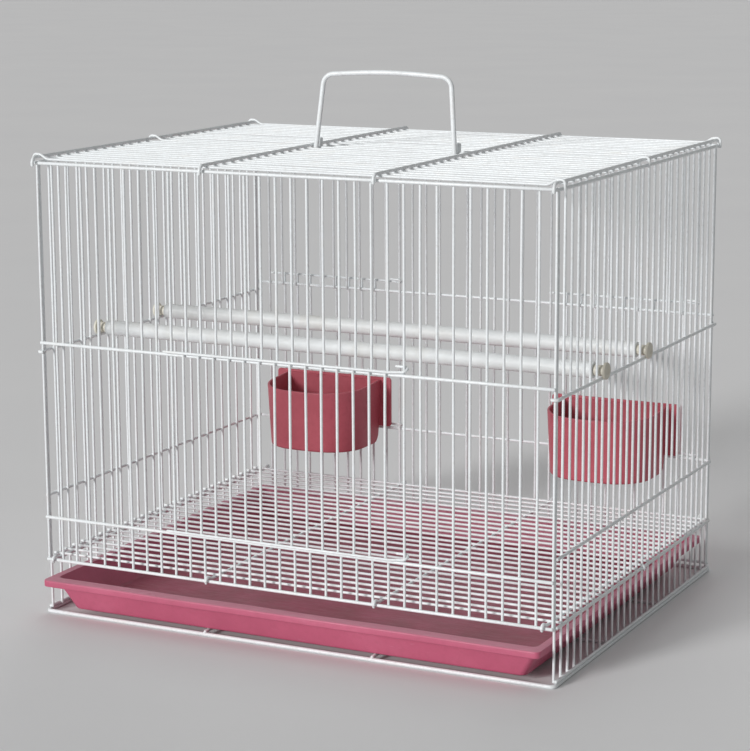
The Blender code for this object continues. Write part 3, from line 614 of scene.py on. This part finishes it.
def build_base(material):
    """Bent frame wire that stands on the ground, with runners for the tray."""
    outline = rounded_outline(RAIL_X, RAIL_Y, BASE_CORNER_R)
    loop = [(point.x, point.y, FRAME_R) for point in outline]
    reach_x = RAIL_X - FRAME_R + WELD
    reach_y = RAIL_Y + BASE_RUNNER_END
    runs = []
    spots = []
    for y in (-BASE_CROSS_Y, BASE_CROSS_Y):
        runs.append((strand((-reach_x, y, FRAME_R), (reach_x, y, FRAME_R), ()), RAIL_R))
        for x in (-RAIL_X, RAIL_X):
            spots.append((Vector((x - math.copysign(FRAME_R, x), y, FRAME_R)), (1, 0, 0), RAIL_R - WELD))
    for x in (-BASE_RUNNER_X, BASE_RUNNER_X):
        runs.append((strand((x, -reach_y, BASE_RUNNER_Z), (x, reach_y, BASE_RUNNER_Z), ()), RAIL_R))
        for y in (-RAIL_Y, -BASE_CROSS_Y, BASE_CROSS_Y, RAIL_Y):
            spots.append((Vector((x, y, 2 * FRAME_Z)), (0, 0, 1), RAIL_R))
    mesh = with_welds(tube_mesh(runs, [(loop, FRAME_R)]), spots)
    place("base_grid_wire", mesh, "base_grid", material)


def door_wire(columns, plane_y, outward, z, tail):
    """Top or bottom wire of a door, curled round its hinge upright at the right."""
    latch_x = front_x(columns[0]) - LATCH_OVERLAP
    hinge = Vector((front_x(columns[1]), plane_y, z))
    out = Vector((0, outward, 0))
    across = Vector((1, 0, 0))
    run = [Vector((latch_x, plane_y, z)) + out * DOOR_FRAME_OUT]
    run.append(hinge - across * HINGE_RUN + out * DOOR_FRAME_OUT)
    end = -90.0 if tail else HINGE_GRIP
    curl = arc(hinge, across, out, HINGE_R, 90.0, end)
    for k, point in enumerate(curl):
        point.z += HINGE_RISE * k / (len(curl) - 1)
    run += curl
    if tail:
        run.append(curl[-1] - across * tail)
    return run


def build_door(node, columns, plane_y, outward, heights, bottom_tail, material):
    """Door of upright wires outside a wall, hinged on one of the wall's uprights."""
    y = plane_y + outward * DOOR_OUT
    low = heights[0] - UPRIGHT_R
    high = heights[1] + UPRIGHT_R
    uprights = [[(front_x(k), y, low), (front_x(k), y, high)] for k in range(columns[0] + 1, columns[1])]
    frames = [door_wire(columns, plane_y, outward, heights[0], bottom_tail),
              door_wire(columns, plane_y, outward, heights[1], HINGE_TAIL)]
    runs = upright_strands(uprights, heights) + [(run, UPRIGHT_R) for run in frames]
    flat = [[(front_x(columns[0]), y, z), (front_x(columns[1]), y, z)] for z in heights]
    spots = crossing(uprights, flat, 0, (0, outward, 0), UPRIGHT_R - WELD / 2)
    place(node + "_wire", with_welds(tube_mesh(runs), spots), node, material)


def build_handle(material):
    """Bail with two hooked feet round the middle wire of the top."""
    turn = UPRIGHT_R + PLAY + HANDLE_R
    axis = Vector((0.0, side_y(HANDLE_ROW), ROW_Z))
    halves = []
    for side in (-1, 1):
        foot = axis + Vector((side * HANDLE_FOOT_X, 0, 0))
        hook = arc(foot, (0, 1, 0), (0, 0, 1), turn, 0.0, -180.0)
        tip = hook[0] + Vector((0, 0, HANDLE_TAIL))
        corner = hook[-1] + Vector((-side * HANDLE_TAPER, 0, HANDLE_RISE))
        other = corner - Vector((2 * corner.x, 0, 0))
        halves.append([tip] + hook + fillet(hook[-1], corner, other, HANDLE_CORNER_R))
    bar = []
    for k in range(1, BOW_POINTS + 1):
        share = k / (BOW_POINTS + 1)
        lift = HANDLE_BOW * math.sin(math.pi * share)
        bar.append(halves[0][-1].lerp(halves[1][-1], share) + Vector((0, 0, lift)))
    run = halves[0] + bar + halves[1][::-1]
    mesh = tube_mesh([(run, HANDLE_R - HANDLE_TRIM)])
    mesh.shade_smooth()
    lean = Matrix.Rotation(-math.radians(HANDLE_LEAN), 4, "X")
    mesh.transform(Matrix.Translation(axis) @ lean @ Matrix.Translation(-axis))
    place("carry_handle_wire", mesh, "carry_handle", material)


# Moulded and turned pieces
def rounded_profile(corners):
    """Points of a section given as (inset in X, inset in Y, height, corner radius)."""
    spots = [Vector(corner[:3]) for corner in corners]
    profile = [spots[0]]
    for k in range(1, len(spots) - 1):
        profile += fillet(spots[k - 1], spots[k], spots[k + 1], corners[k][3], MOULD_STEP)
    profile.append(spots[-1])
    return profile


def loft(form, rings):
    """Skin over rings of points, closed with a face at each end."""
    loops = [[form.verts.new(point) for point in ring] for ring in rings]
    count = len(loops[0])
    for low, high in zip(loops, loops[1:]):
        for k in range(count):
            form.faces.new((low[k], low[(k + 1) % count], high[(k + 1) % count], high[k]))
    form.faces.new(loops[0])
    form.faces.new(loops[-1])


def moulded_mesh(form):
    """Mesh of a moulded form with smooth faces and its edges kept crisp."""
    bmesh.ops.recalc_face_normals(form, faces=form.faces)
    mesh = bpy.data.meshes.new("moulded")
    form.to_mesh(mesh)
    form.free()
    mesh.shade_smooth()
    mesh.set_sharp_from_angle(angle=CRISP_ANGLE)
    return mesh


def soft_box(form, low, high, edge):
    """Block between two corners with rounded edges."""
    low = Vector(low)
    high = Vector(high)
    size = high - low
    spot = Matrix.Translation((low + high) / 2) @ Matrix.Diagonal((*size, 1.0))
    block = bmesh.new()
    bmesh.ops.create_cube(block, size=1.0, matrix=spot)
    bmesh.ops.bevel(block, geom=block.edges[:], offset=edge, segments=SOFT_STEPS, profile=0.5,
                    affect="EDGES")
    shape = bpy.data.meshes.new("block")
    block.to_mesh(shape)
    block.free()
    form.from_mesh(shape)


def tray_ring(half_x, half_y, radius):
    """Rounded rectangle with its straight sides cut into even spans."""
    outline = rounded_outline(half_x, half_y, radius, MOULD_STEP)
    corner = len(outline) // 4
    ring = []
    for k in range(4):
        bend = outline[k * corner:(k + 1) * corner]
        after = outline[(k + 1) * corner % len(outline)]
        ring += bend
        ring += [bend[-1].lerp(after, step / TRAY_SPANS) for step in range(1, TRAY_SPANS)]
    return ring


def build_tray(material):
    """Shallow tray with a flat flange round it, turned down at its edge."""
    front = -DEPTH / 2 - TRAY_OVERHANG
    back = DEPTH / 2 - UPRIGHT_R - PLAY
    rim_x = WIDTH / 2 - UPRIGHT_R - TRAY_SIDE_GAP
    rim_y = (back - front) / 2
    side = TRAY_SIDE_FLANGE
    end = TRAY_END_FLANGE
    side_low = side + TRAY_SIDE_DRAFT
    end_low = end + TRAY_END_DRAFT
    wall = TRAY_WALL
    top = TRAY_HEIGHT
    corners = [(side_low + wall + TRAY_MIDDLE, end_low + wall + TRAY_MIDDLE, wall, 0.0),
               (side_low + wall, end_low + wall, wall, TRAY_FLOOR_R),
               (side + wall, end + wall, top, TRAY_EDGE_R),
               (0.0, 0.0, top, TRAY_EDGE_R),
               (0.0, 0.0, top - TRAY_LIP, LIP_ROUND),
               (wall, wall, top - TRAY_LIP, LIP_ROUND),
               (wall, wall, top - wall, LIP_ROUND),
               (side, end, top - wall, LIP_ROUND),
               (side_low, end_low, 0.0, TRAY_FLOOR_R),
               (side_low + TRAY_MIDDLE, end_low + TRAY_MIDDLE, 0.0, 0.0)]
    origin = Vector((0.0, (front + back) / 2, BASE_TOP + SEAT))
    rings = []
    for spot in rounded_profile(corners):
        share = min(1.0, spot.x / side)
        radius = TRAY_RIM_R + (TRAY_CORNER_R - TRAY_RIM_R) * share
        ring = tray_ring(rim_x - spot.x, rim_y - spot.y, radius)
        rings.append([Vector((p.x, p.y, spot.z)) + origin for p in ring])
    form = bmesh.new()
    loft(form, rings)
    for vert in form.verts:
        lift = max(0.0, vert.co.z - origin.z - TRAY_WALL) / TRAY_HEIGHT
        vert.co.z += TRAY_WARP * lift * noise.noise(vert.co * WARP_SCALE)
    place("tray_moulding", moulded_mesh(form), "tray", material)


def bowl_ring(half_width, depth, corner_r, back):
    """D-shaped ring: straight back, rounded corners and a bulged front at -Y."""
    left = Vector((-half_width, -back, 0.0))
    front_left = Vector((-half_width, -depth + CUP_BOW, 0.0))
    nose = Vector((0.0, -depth, 0.0))
    front_right = Vector((half_width, -depth + CUP_BOW, 0.0))
    corner = fillet(left, front_left, nose, corner_r, MOULD_STEP / 2)
    flank = [left.lerp(corner[0], k / CUP_SPANS) for k in range(CUP_SPANS)]
    middle = fillet(front_left, nose, front_right, CUP_NOSE_R, MOULD_STEP / 2)
    points = flank + corner
    mirrored = [Vector((-p.x, p.y, p.z)) for p in reversed(points)]
    return points + middle + mirrored


def heel(height):
    """How far the bowl's back draws in above its bottom."""
    share = min(1.0, max(0.0, 1 - height / CUP_HEEL_R))
    return CUP_HEEL_R * (1 - math.sqrt(1 - share * share))


def even_steps(points):
    """Path with its long runs cut into short steps."""
    path = [points[0]]
    for start, end in zip(points, points[1:]):
        count = max(1, math.ceil((end - start).length / SECTION_STEP))
        path += [start.lerp(end, k / count) for k in range(1, count + 1)]
    return path


def build_cup(node, columns, shift, material):
    """Feed cup whose back plate stands on the lower back rail and hooks over it with two lips."""
    middle_x = (front_x(columns[0]) + front_x(columns[1])) / 2
    plate_half = (front_x(columns[1]) - front_x(columns[0])) / 2 - CUP_SIDE_GAP
    bowl_half = plate_half - CUP_FLANGE
    plate_low = RAIL_R + SEAT
    plate_high = plate_low + CUP_PLATE_HEIGHT
    plate_back = RAIL_OUT - RAIL_R - SEAT
    plate_front = plate_back - CUP_WALL
    floor = -CUP_HANG
    corners = [(CUP_WALL + CUP_DRAFT + CUP_MIDDLE, 0.0, CUP_WALL, 0.0),
               (CUP_WALL + CUP_DRAFT, 0.0, CUP_WALL, CUP_FLOOR_R),
               (CUP_WALL, 0.0, CUP_HEIGHT, CUP_EDGE_R),
               (0.0, 0.0, CUP_HEIGHT, CUP_EDGE_R),
               (CUP_DRAFT, 0.0, 0.0, CUP_BASE_R),
               (CUP_DRAFT + CUP_MIDDLE, 0.0, 0.0, 0.0)]
    section = even_steps(rounded_profile(corners))
    top = max(range(len(section)), key=lambda k: section[k].z)
    form = bmesh.new()
    rings = []
    for k, spot in enumerate(section):
        back = heel(spot.z - CUP_WALL) + CUP_WALL if k <= top else heel(spot.z)
        ring = bowl_ring(bowl_half - spot.x, CUP_DEPTH - spot.x, CUP_CORNER_R - spot.x, back)
        points = []
        for p in ring:
            climb = 1 + CUP_RIM_RISE / CUP_HEIGHT * (1 + p.y / CUP_DEPTH)
            points.append(Vector((p.x + shift, p.y + plate_front, floor + spot.z * climb)))
        rings.append(points)
    loft(form, rings)
    plate_middle = (plate_low + plate_high) / 2
    edges = [(PLATE_EDGE, 0.0), (0.0, PLATE_EDGE), (0.0, CUP_WALL - PLATE_EDGE), (PLATE_EDGE, CUP_WALL)]
    plate = []
    for inset, depth in edges:
        outline = rounded_outline(plate_half - inset, CUP_PLATE_HEIGHT / 2 - inset, CUP_PLATE_CORNER)
        plate.append([Vector((p.x + shift, plate_front + depth, p.y + plate_middle)) for p in outline])
    loft(form, plate)
    lip_gap = RAIL_FACE + SEAT
    lip_out = lip_gap + LIP_WALL
    lip_low = RAIL_R - LIP_DROP
    lip_top = plate_low + LIP_BRIDGE
    half_lip = FRONT_PITCH / 2 - UPRIGHT_R - LIP_SIDE_GAP
    for side in (-1, 1):
        x = side * LIP_GAPS * FRONT_PITCH
        soft_box(form, (x - half_lip, plate_front + PLATE_EDGE, plate_low),
                 (x + half_lip, lip_out, lip_top), PLATE_EDGE)
        soft_box(form, (x - half_lip, lip_gap, lip_low), (x + half_lip, lip_out, lip_top), PLATE_EDGE)
    mesh = moulded_mesh(form)
    mesh.transform(Matrix.Translation((middle_x, DEPTH / 2, WALL_LOW_RAIL_Z)))
    place(node + "_moulding", mesh, node, material)


def turned_mesh(profile, closed):
    """Profile of (radius, x) points turned round the X axis."""
    form = bmesh.new()
    rings = []
    for radius, x in profile:
        ring = []
        for k in range(TURN_SIDES):
            angle = 2 * math.pi * k / TURN_SIDES
            ring.append(form.verts.new((x, radius * math.cos(angle), radius * math.sin(angle))))
        rings.append(ring)
    pairs = list(zip(rings, rings[1:]))
    if closed:
        pairs.append((rings[-1], rings[0]))
    for low, high in pairs:
        for k in range(TURN_SIDES):
            after = (k + 1) % TURN_SIDES
            form.faces.new((low[k], low[after], high[after], high[k]))
    if not closed:
        form.faces.new(rings[0])
        form.faces.new(rings[-1])
    return moulded_mesh(form)


def build_perches(rod_material, plug_material):
    """Rods with a plug in each end, whose necks sit on the side walls' middle rails."""
    neck_r = SIDE_PITCH / 2 - UPRIGHT_R - NECK_SIDE_GAP
    z = SIDE_MID_RAIL_Z + RAIL_R + SEAT + neck_r
    rod_half = WIDTH / 2 - UPRIGHT_R - PERCH_END_GAP
    shoulder = rod_half + SEAT
    head = WIDTH / 2 + RAIL_FACE + PLUG_RAIL_GAP
    tip = head + PLUG_HEAD
    spigot_r = PERCH_BORE_R - SEAT
    outer = [(PERCH_R - ROD_EDGE, -rod_half), (PERCH_R - ROD_EASE, -rod_half + ROD_EASE),
             (PERCH_R, -rod_half + ROD_EDGE)]
    ends = [(radius, -x) for radius, x in reversed(outer)]
    plug = [(spigot_r - ROD_EDGE, shoulder - PLUG_SPIGOT), (spigot_r, shoulder - PLUG_SPIGOT + ROD_EDGE),
            (spigot_r, shoulder), (neck_r - PLUG_EASE, shoulder), (neck_r, shoulder + PLUG_EASE),
            (neck_r, head - PLUG_EASE), (neck_r + PLUG_EASE, head), (PLUG_HEAD_R - PLUG_EASE, head),
            (PLUG_HEAD_R, head + PLUG_EASE), (PLUG_HEAD_R, tip - PLUG_CROWN)]
    for k in range(1, CROWN_STEPS + 1):
        angle = math.pi / 2 * k / CROWN_STEPS
        radius = PLUG_HEAD_R - PLUG_CROWN_IN * (1 - math.cos(angle))
        plug.append((radius, tip - PLUG_CROWN * (1 - math.sin(angle))))
    plug += [(PLUG_DIMPLE_R, tip), (PLUG_DIMPLE_R - PLUG_EASE, tip - PLUG_EASE),
             (PLUG_DIMPLE_R / 2, tip - PLUG_EASE)]
    for name, space in zip(("front_perch", "rear_perch"), PERCH_SPACES):
        spot = Matrix.Translation((0.0, side_y(space + 0.5), z))
        body = []
        for k in range(1, ROD_RINGS):
            x = -rod_half + 2 * rod_half * k / ROD_RINGS
            body.append((PERCH_R - ROD_WAVER * DRAW.random(), x))
        profile = outer + body + ends + [(PERCH_BORE_R, rod_half), (PERCH_BORE_R, -rod_half)]
        mesh = turned_mesh(profile, True)
        mesh.transform(spot)
        place(name + "_rod", mesh, name, rod_material)
        for end, flip in (("right", 0.0), ("left", math.pi)):
            node = f"{name}_{end}_plug"
            mesh = turned_mesh(plug, False)
            mesh.transform(spot @ Matrix.Rotation(flip, 4, "Z"))
            place(node + "_turned", mesh, node, plug_material)


# Materials
class Shader:
    """Principled material with helpers that add nodes in object space."""

    def __init__(self, name):
        self.material = bpy.data.materials.new(name)
        self.material.use_nodes = True
        self.tree = self.material.node_tree
        self.surface = self.tree.nodes["Principled BSDF"]
        self.coordinates = self.tree.nodes.new("ShaderNodeTexCoord").outputs
        self.place = self.coordinates["Object"]

    def link(self, output, target):
        """Joins two sockets."""
        self.tree.links.new(output, target)

    def stretched(self, scale):
        """Object-space place with its axes scaled."""
        mapping = self.tree.nodes.new("ShaderNodeMapping")
        mapping.inputs["Scale"].default_value = scale
        self.link(self.place, mapping.inputs["Vector"])
        return mapping.outputs["Vector"]

    def axis(self, kind, letter):
        """One component of the object-space place or normal."""
        split = self.tree.nodes.new("ShaderNodeSeparateXYZ")
        self.link(self.coordinates[kind], split.inputs["Vector"])
        return split.outputs[letter]

    def times(self, first, second):
        """Product of two values."""
        node = self.tree.nodes.new("ShaderNodeMath")
        node.operation = "MULTIPLY"
        self.link(first, node.inputs[0])
        self.link(second, node.inputs[1])
        return node.outputs[0]

    def noise(self, grain, where=None):
        """Noise of a grain given as (scale, detail, roughness)."""
        texture = self.tree.nodes.new("ShaderNodeTexNoise")
        for key, number in zip(("Scale", "Detail", "Roughness"), grain):
            texture.inputs[key].default_value = number
        self.link(where or self.place, texture.inputs["Vector"])
        return texture.outputs["Fac"]

    def ramp(self, value, stops):
        """Colour ramp with stops of (place, colour)."""
        node = self.tree.nodes.new("ShaderNodeValToRGB")
        steps = node.color_ramp.elements
        while len(steps) < len(stops):
            steps.new(0.5)
        for step, (spot, colour) in zip(steps, stops):
            step.position = spot
            step.color = (*colour, 1.0)
        self.link(value, node.inputs["Fac"])
        return node.outputs["Color"]

    def span(self, value, limits):
        """Value mapped from one range to another and clamped."""
        node = self.tree.nodes.new("ShaderNodeMapRange")
        for key, number in zip(("From Min", "From Max", "To Min", "To Max"), limits):
            node.inputs[key].default_value = number
        self.link(value, node.inputs["Value"])
        return node.outputs["Result"]

    def mix(self, factor, first, second):
        """Colours mixed by a factor; a plain tuple counts as a colour."""
        node = self.tree.nodes.new("ShaderNodeMix")
        node.data_type = "RGBA"
        colours = [socket for socket in node.inputs if socket.type == "RGBA"]
        for socket, colour in zip(colours, (first, second)):
            if isinstance(colour, tuple):
                socket.default_value = (*colour, 1.0)
            else:
                self.link(colour, socket)
        self.link(factor, node.inputs["Factor"])
        return next(socket for socket in node.outputs if socket.type == "RGBA")

    def bump(self, height, relief, below=None):
        """Normal of a relief given as (strength, distance), on top of another normal."""
        node = self.tree.nodes.new("ShaderNodeBump")
        for key, number in zip(("Strength", "Distance"), relief):
            node.inputs[key].default_value = number
        self.link(height, node.inputs["Height"])
        if below:
            self.link(below, node.inputs["Normal"])
        return node.outputs["Normal"]

    def finish(self, colour, roughness, normal, **plain):
        """Material with these outputs on its surface, and plain numbers on other sockets."""
        self.link(colour, self.surface.inputs["Base Color"])
        self.link(roughness, self.surface.inputs["Roughness"])
        self.link(normal, self.surface.inputs["Normal"])
        for key, number in plain.items():
            self.surface.inputs[key.replace("_", " ")].default_value = number
        return self.material


def wire_finish():
    """White coating on wire: slightly uneven, yellowed here and there, thin at scattered spots."""
    shader = Shader("coated_wire_finish")
    cloud = shader.noise(WIRE_CLOUD)
    fine = shader.noise(WIRE_FINE)
    specks = shader.noise(WIRE_SPECKS)
    colour = shader.ramp(cloud, WIRE_COLOURS)
    colour = shader.mix(shader.span(fine, WIRE_DULLING), colour, WIRE_DULL)
    colour = shader.mix(shader.span(specks, WIRE_SPECKLING), colour, WIRE_SPECK)
    roughness = shader.span(fine, WIRE_ROUGHNESS)
    normal = shader.bump(specks, WIRE_SPECK_BUMP, shader.bump(fine, WIRE_FINE_BUMP))
    return shader.finish(colour, roughness, normal, IOR=COATING_IOR)


def painted_well_shade_and_top_light(shader, colour):
    """Painted shade: dark brown on the floor of the tray's well, cloudy and fading up its walls, and
    painted top light that makes the flange's top paler.
    """
    height = shader.axis("Object", "Z")
    tilt = shader.axis("Normal", "Z")
    # painted shade: the well's floor and low walls go dark brown, in cloudy patches
    patches = shader.span(shader.noise(WELL_SHADE_CLOUD), WELL_SHADE_PATCHES)
    deep = shader.times(shader.span(height, WELL_SHADE_HEIGHTS), shader.span(tilt, WELL_SHADE_TILT))
    colour = shader.mix(shader.times(deep, patches), colour, TRAY_WELL_PAINTED_SHADE)
    # painted top light: the flange's up-facing top mixed toward pale pink
    flange_light = shader.times(shader.span(height, FLANGE_TOP_LIGHT_HEIGHTS), shader.span(tilt, FLANGE_TOP_LIGHT_TILT))
    return shader.mix(flange_light, colour, TRAY_SCUFF_AND_TOP_LIGHT)


def moulded_finish(name, colours, dull, scuff, painted_shade_and_light=False):
    """Moulded plastic with cloudy colour, a fine grain, rubbed scratches and dust."""
    shader = Shader(name)
    cloud = shader.noise(MOULD_CLOUD)
    grain = shader.noise(MOULD_GRAIN)
    marks = shader.noise(MOULD_MARKS, shader.stretched(MARK_STRETCH))
    spots = shader.noise(MOULD_SPOTS)
    colour = shader.ramp(cloud, colours)
    colour = shader.mix(shader.span(spots, MOULD_DULLING), colour, dull)
    colour = shader.mix(shader.span(marks, MOULD_SCUFFING), colour, scuff)
    # the tray gets painted shade in its well and painted top light on its flange
    if painted_shade_and_light:
        colour = painted_well_shade_and_top_light(shader, colour)
    roughness = shader.span(marks, MOULD_ROUGHNESS)
    normal = shader.bump(grain, MOULD_GRAIN_BUMP, shader.bump(marks, MOULD_MARK_BUMP))
    return shader.finish(colour, roughness, normal, IOR=PLASTIC_IOR)


def rod_finish(name, colours, stain, stretch):
    """Off-white turned plastic with streaks along its length and rubbed patches with stains."""
    shader = Shader(name)
    streaks = shader.noise(ROD_STREAKS, shader.stretched(stretch))
    patches = shader.noise(ROD_PATCHES)
    grain = shader.noise(ROD_GRAIN)
    colour = shader.ramp(streaks, colours)
    colour = shader.mix(shader.span(patches, ROD_STAINING), colour, stain)
    roughness = shader.span(streaks, ROD_ROUGHNESS)
    normal = shader.bump(grain, ROD_GRAIN_BUMP, shader.bump(streaks, ROD_STREAK_BUMP))
    return shader.finish(colour, roughness, normal, IOR=PLASTIC_IOR)


def floor_finish():
    """Pale matt floor with a faint unevenness."""
    shader = Shader("floor_finish")
    colour = shader.ramp(shader.noise(FLOOR_CLOUD), FLOOR_COLOURS)
    roughness = shader.span(shader.noise(FLOOR_PATCHES), FLOOR_ROUGHNESS)
    normal = shader.bump(shader.noise(FLOOR_GRAIN), FLOOR_BUMP)
    return shader.finish(colour, roughness, normal, Specular_IOR_Level=0.0)


# Stage
def build_floor():
    """Wide floor that the cage stands on."""
    form = bmesh.new()
    corners = [(-FLOOR_HALF, -FLOOR_HALF), (FLOOR_HALF, -FLOOR_HALF),
               (FLOOR_HALF, FLOOR_HALF), (-FLOOR_HALF, FLOOR_HALF)]
    form.faces.new([form.verts.new((x, y, 0.0)) for x, y in corners])
    mesh = bpy.data.meshes.new("studio_floor")
    form.to_mesh(mesh)
    form.free()
    mesh.materials.append(floor_finish())
    item = bpy.data.objects.new("studio_floor", mesh)
    bpy.context.scene.collection.objects.link(item)


def add_sun(name, direction, strength, spread, glossy=True):
    """Distant lamp that shines along a direction, with or without its own highlights."""
    lamp = bpy.data.lights.new(name, "SUN")
    lamp.energy = strength
    lamp.angle = math.radians(spread)
    item = bpy.data.objects.new(name, lamp)
    item.visible_glossy = glossy
    item.rotation_mode = "QUATERNION"
    item.rotation_quaternion = Vector((0, 0, -1)).rotation_difference(Vector(direction).normalized())
    bpy.context.scene.collection.objects.link(item)


def build_world():
    """Even grey light, with a pale backdrop where the camera or a reflection sees past the floor."""
    world = bpy.data.worlds.new("studio")
    world.use_nodes = True
    tree = world.node_tree
    light = tree.nodes["Background"]
    light.inputs["Color"].default_value = WORLD_COLOUR
    light.inputs["Strength"].default_value = WORLD_LEVEL
    backdrop = tree.nodes.new("ShaderNodeBackground")
    backdrop.inputs["Color"].default_value = BACKDROP_COLOUR
    path = tree.nodes.new("ShaderNodeLightPath")
    seen = path.outputs["Is Camera Ray"]
    for kind in ("Is Glossy Ray", "Is Transmission Ray"):
        either = tree.nodes.new("ShaderNodeMath")
        either.operation = "MAXIMUM"
        tree.links.new(seen, either.inputs[0])
        tree.links.new(path.outputs[kind], either.inputs[1])
        seen = either.outputs[0]
    blend = tree.nodes.new("ShaderNodeMixShader")
    tree.links.new(seen, blend.inputs["Fac"])
    tree.links.new(light.outputs[0], blend.inputs[1])
    tree.links.new(backdrop.outputs[0], blend.inputs[2])
    tree.links.new(blend.outputs[0], tree.nodes["World Output"].inputs["Surface"])
    bpy.context.scene.world = world


def build_camera():
    """Camera where the photograph was taken from."""
    ahead = Vector(CAMERA_AHEAD).normalized()
    right = Vector(CAMERA_RIGHT)
    up = right.cross(ahead).normalized()
    right = ahead.cross(up)
    lens = bpy.data.cameras.new("photo_camera")
    lens.lens = CAMERA_FOCAL * SENSOR / IMAGE_SIDE
    lens.sensor_width = SENSOR
    item = bpy.data.objects.new("photo_camera", lens)
    turn = Matrix((right, up, -ahead)).transposed().to_4x4()
    item.matrix_world = Matrix.Translation(CAMERA_PLACE) @ turn
    bpy.context.scene.collection.objects.link(item)
    bpy.context.scene.camera = item


def main():
    """Builds every piece of the cage, then the stage round it."""
    wire = wire_finish()
    front_heights = (FLOOR_RAIL_Z, FRONT_LOW_RAIL_Z, MID_RAIL_Z, TOP_RAIL_Z)
    front_window = (FRONT_DOOR, FRONT_LOW_RAIL_Z, MID_RAIL_Z)
    build_wall("front_panel", -DEPTH / 2, -1, front_heights, [front_window], wire)
    back_heights = (BACK_FOOT_Z, FLOOR_RAIL_Z, WALL_LOW_RAIL_Z, MID_RAIL_Z, TOP_RAIL_Z)
    back_windows = [(columns, WALL_LOW_RAIL_Z, MID_RAIL_Z) for columns in (LEFT_FEEDER, RIGHT_FEEDER)]
    build_wall("back_panel", DEPTH / 2, 1, back_heights, back_windows, wire)
    build_side("left_side_panel", -1, wire)
    build_side("right_side_panel", 1, wire)
    build_top(wire)
    build_floor_grid(wire)
    build_base(wire)
    rest = RAIL_R + PLAY + UPRIGHT_R
    build_door("front_door", FRONT_DOOR, -DEPTH / 2, -1,
               (FRONT_LOW_RAIL_Z + rest, MID_RAIL_Z + rest), HINGE_TAIL, wire)
    for node, columns in (("left_feeder_door", LEFT_FEEDER), ("right_feeder_door", RIGHT_FEEDER)):
        build_door(node, columns, DEPTH / 2, 1,
                   (WALL_LOW_RAIL_Z + rest, MID_RAIL_Z + FEEDER_TOP_RISE), 0.0, wire)
    build_handle(wire)
    # the tray's finish carries painted shade in its well and painted top light on its flange
    build_tray(moulded_finish("tray_finish", TRAY_COLOURS, TRAY_DULL, TRAY_SCUFF_AND_TOP_LIGHT, painted_shade_and_light=True))
    cup = moulded_finish("cup_finish", CUP_COLOURS, CUP_DULL, CUP_SCUFF)
    build_cup("left_feed_cup", LEFT_FEEDER, 0.0, cup)
    build_cup("right_feed_cup", RIGHT_FEEDER, RIGHT_CUP_SHIFT, cup)
    rod = rod_finish("rod_finish", ROD_COLOURS, ROD_STAIN, ROD_STRETCH)
    plug = rod_finish("plug_finish", PLUG_COLOURS, PLUG_STAIN, PLUG_STRETCH)
    build_perches(rod, plug)
    build_floor()
    build_world()
    add_sun("key_lamp", KEY_WAY, KEY_LEVEL, KEY_SPREAD)
    add_sun("fill_lamp", FILL_WAY, FILL_LEVEL, FILL_SPREAD)
    add_sun("back_lamp", BACK_WAY, BACK_LEVEL, BACK_SPREAD, glossy=False)
    build_camera()
    bpy.context.scene.view_settings.view_transform = "Standard"


main()
bpy.context.view_layer.update()
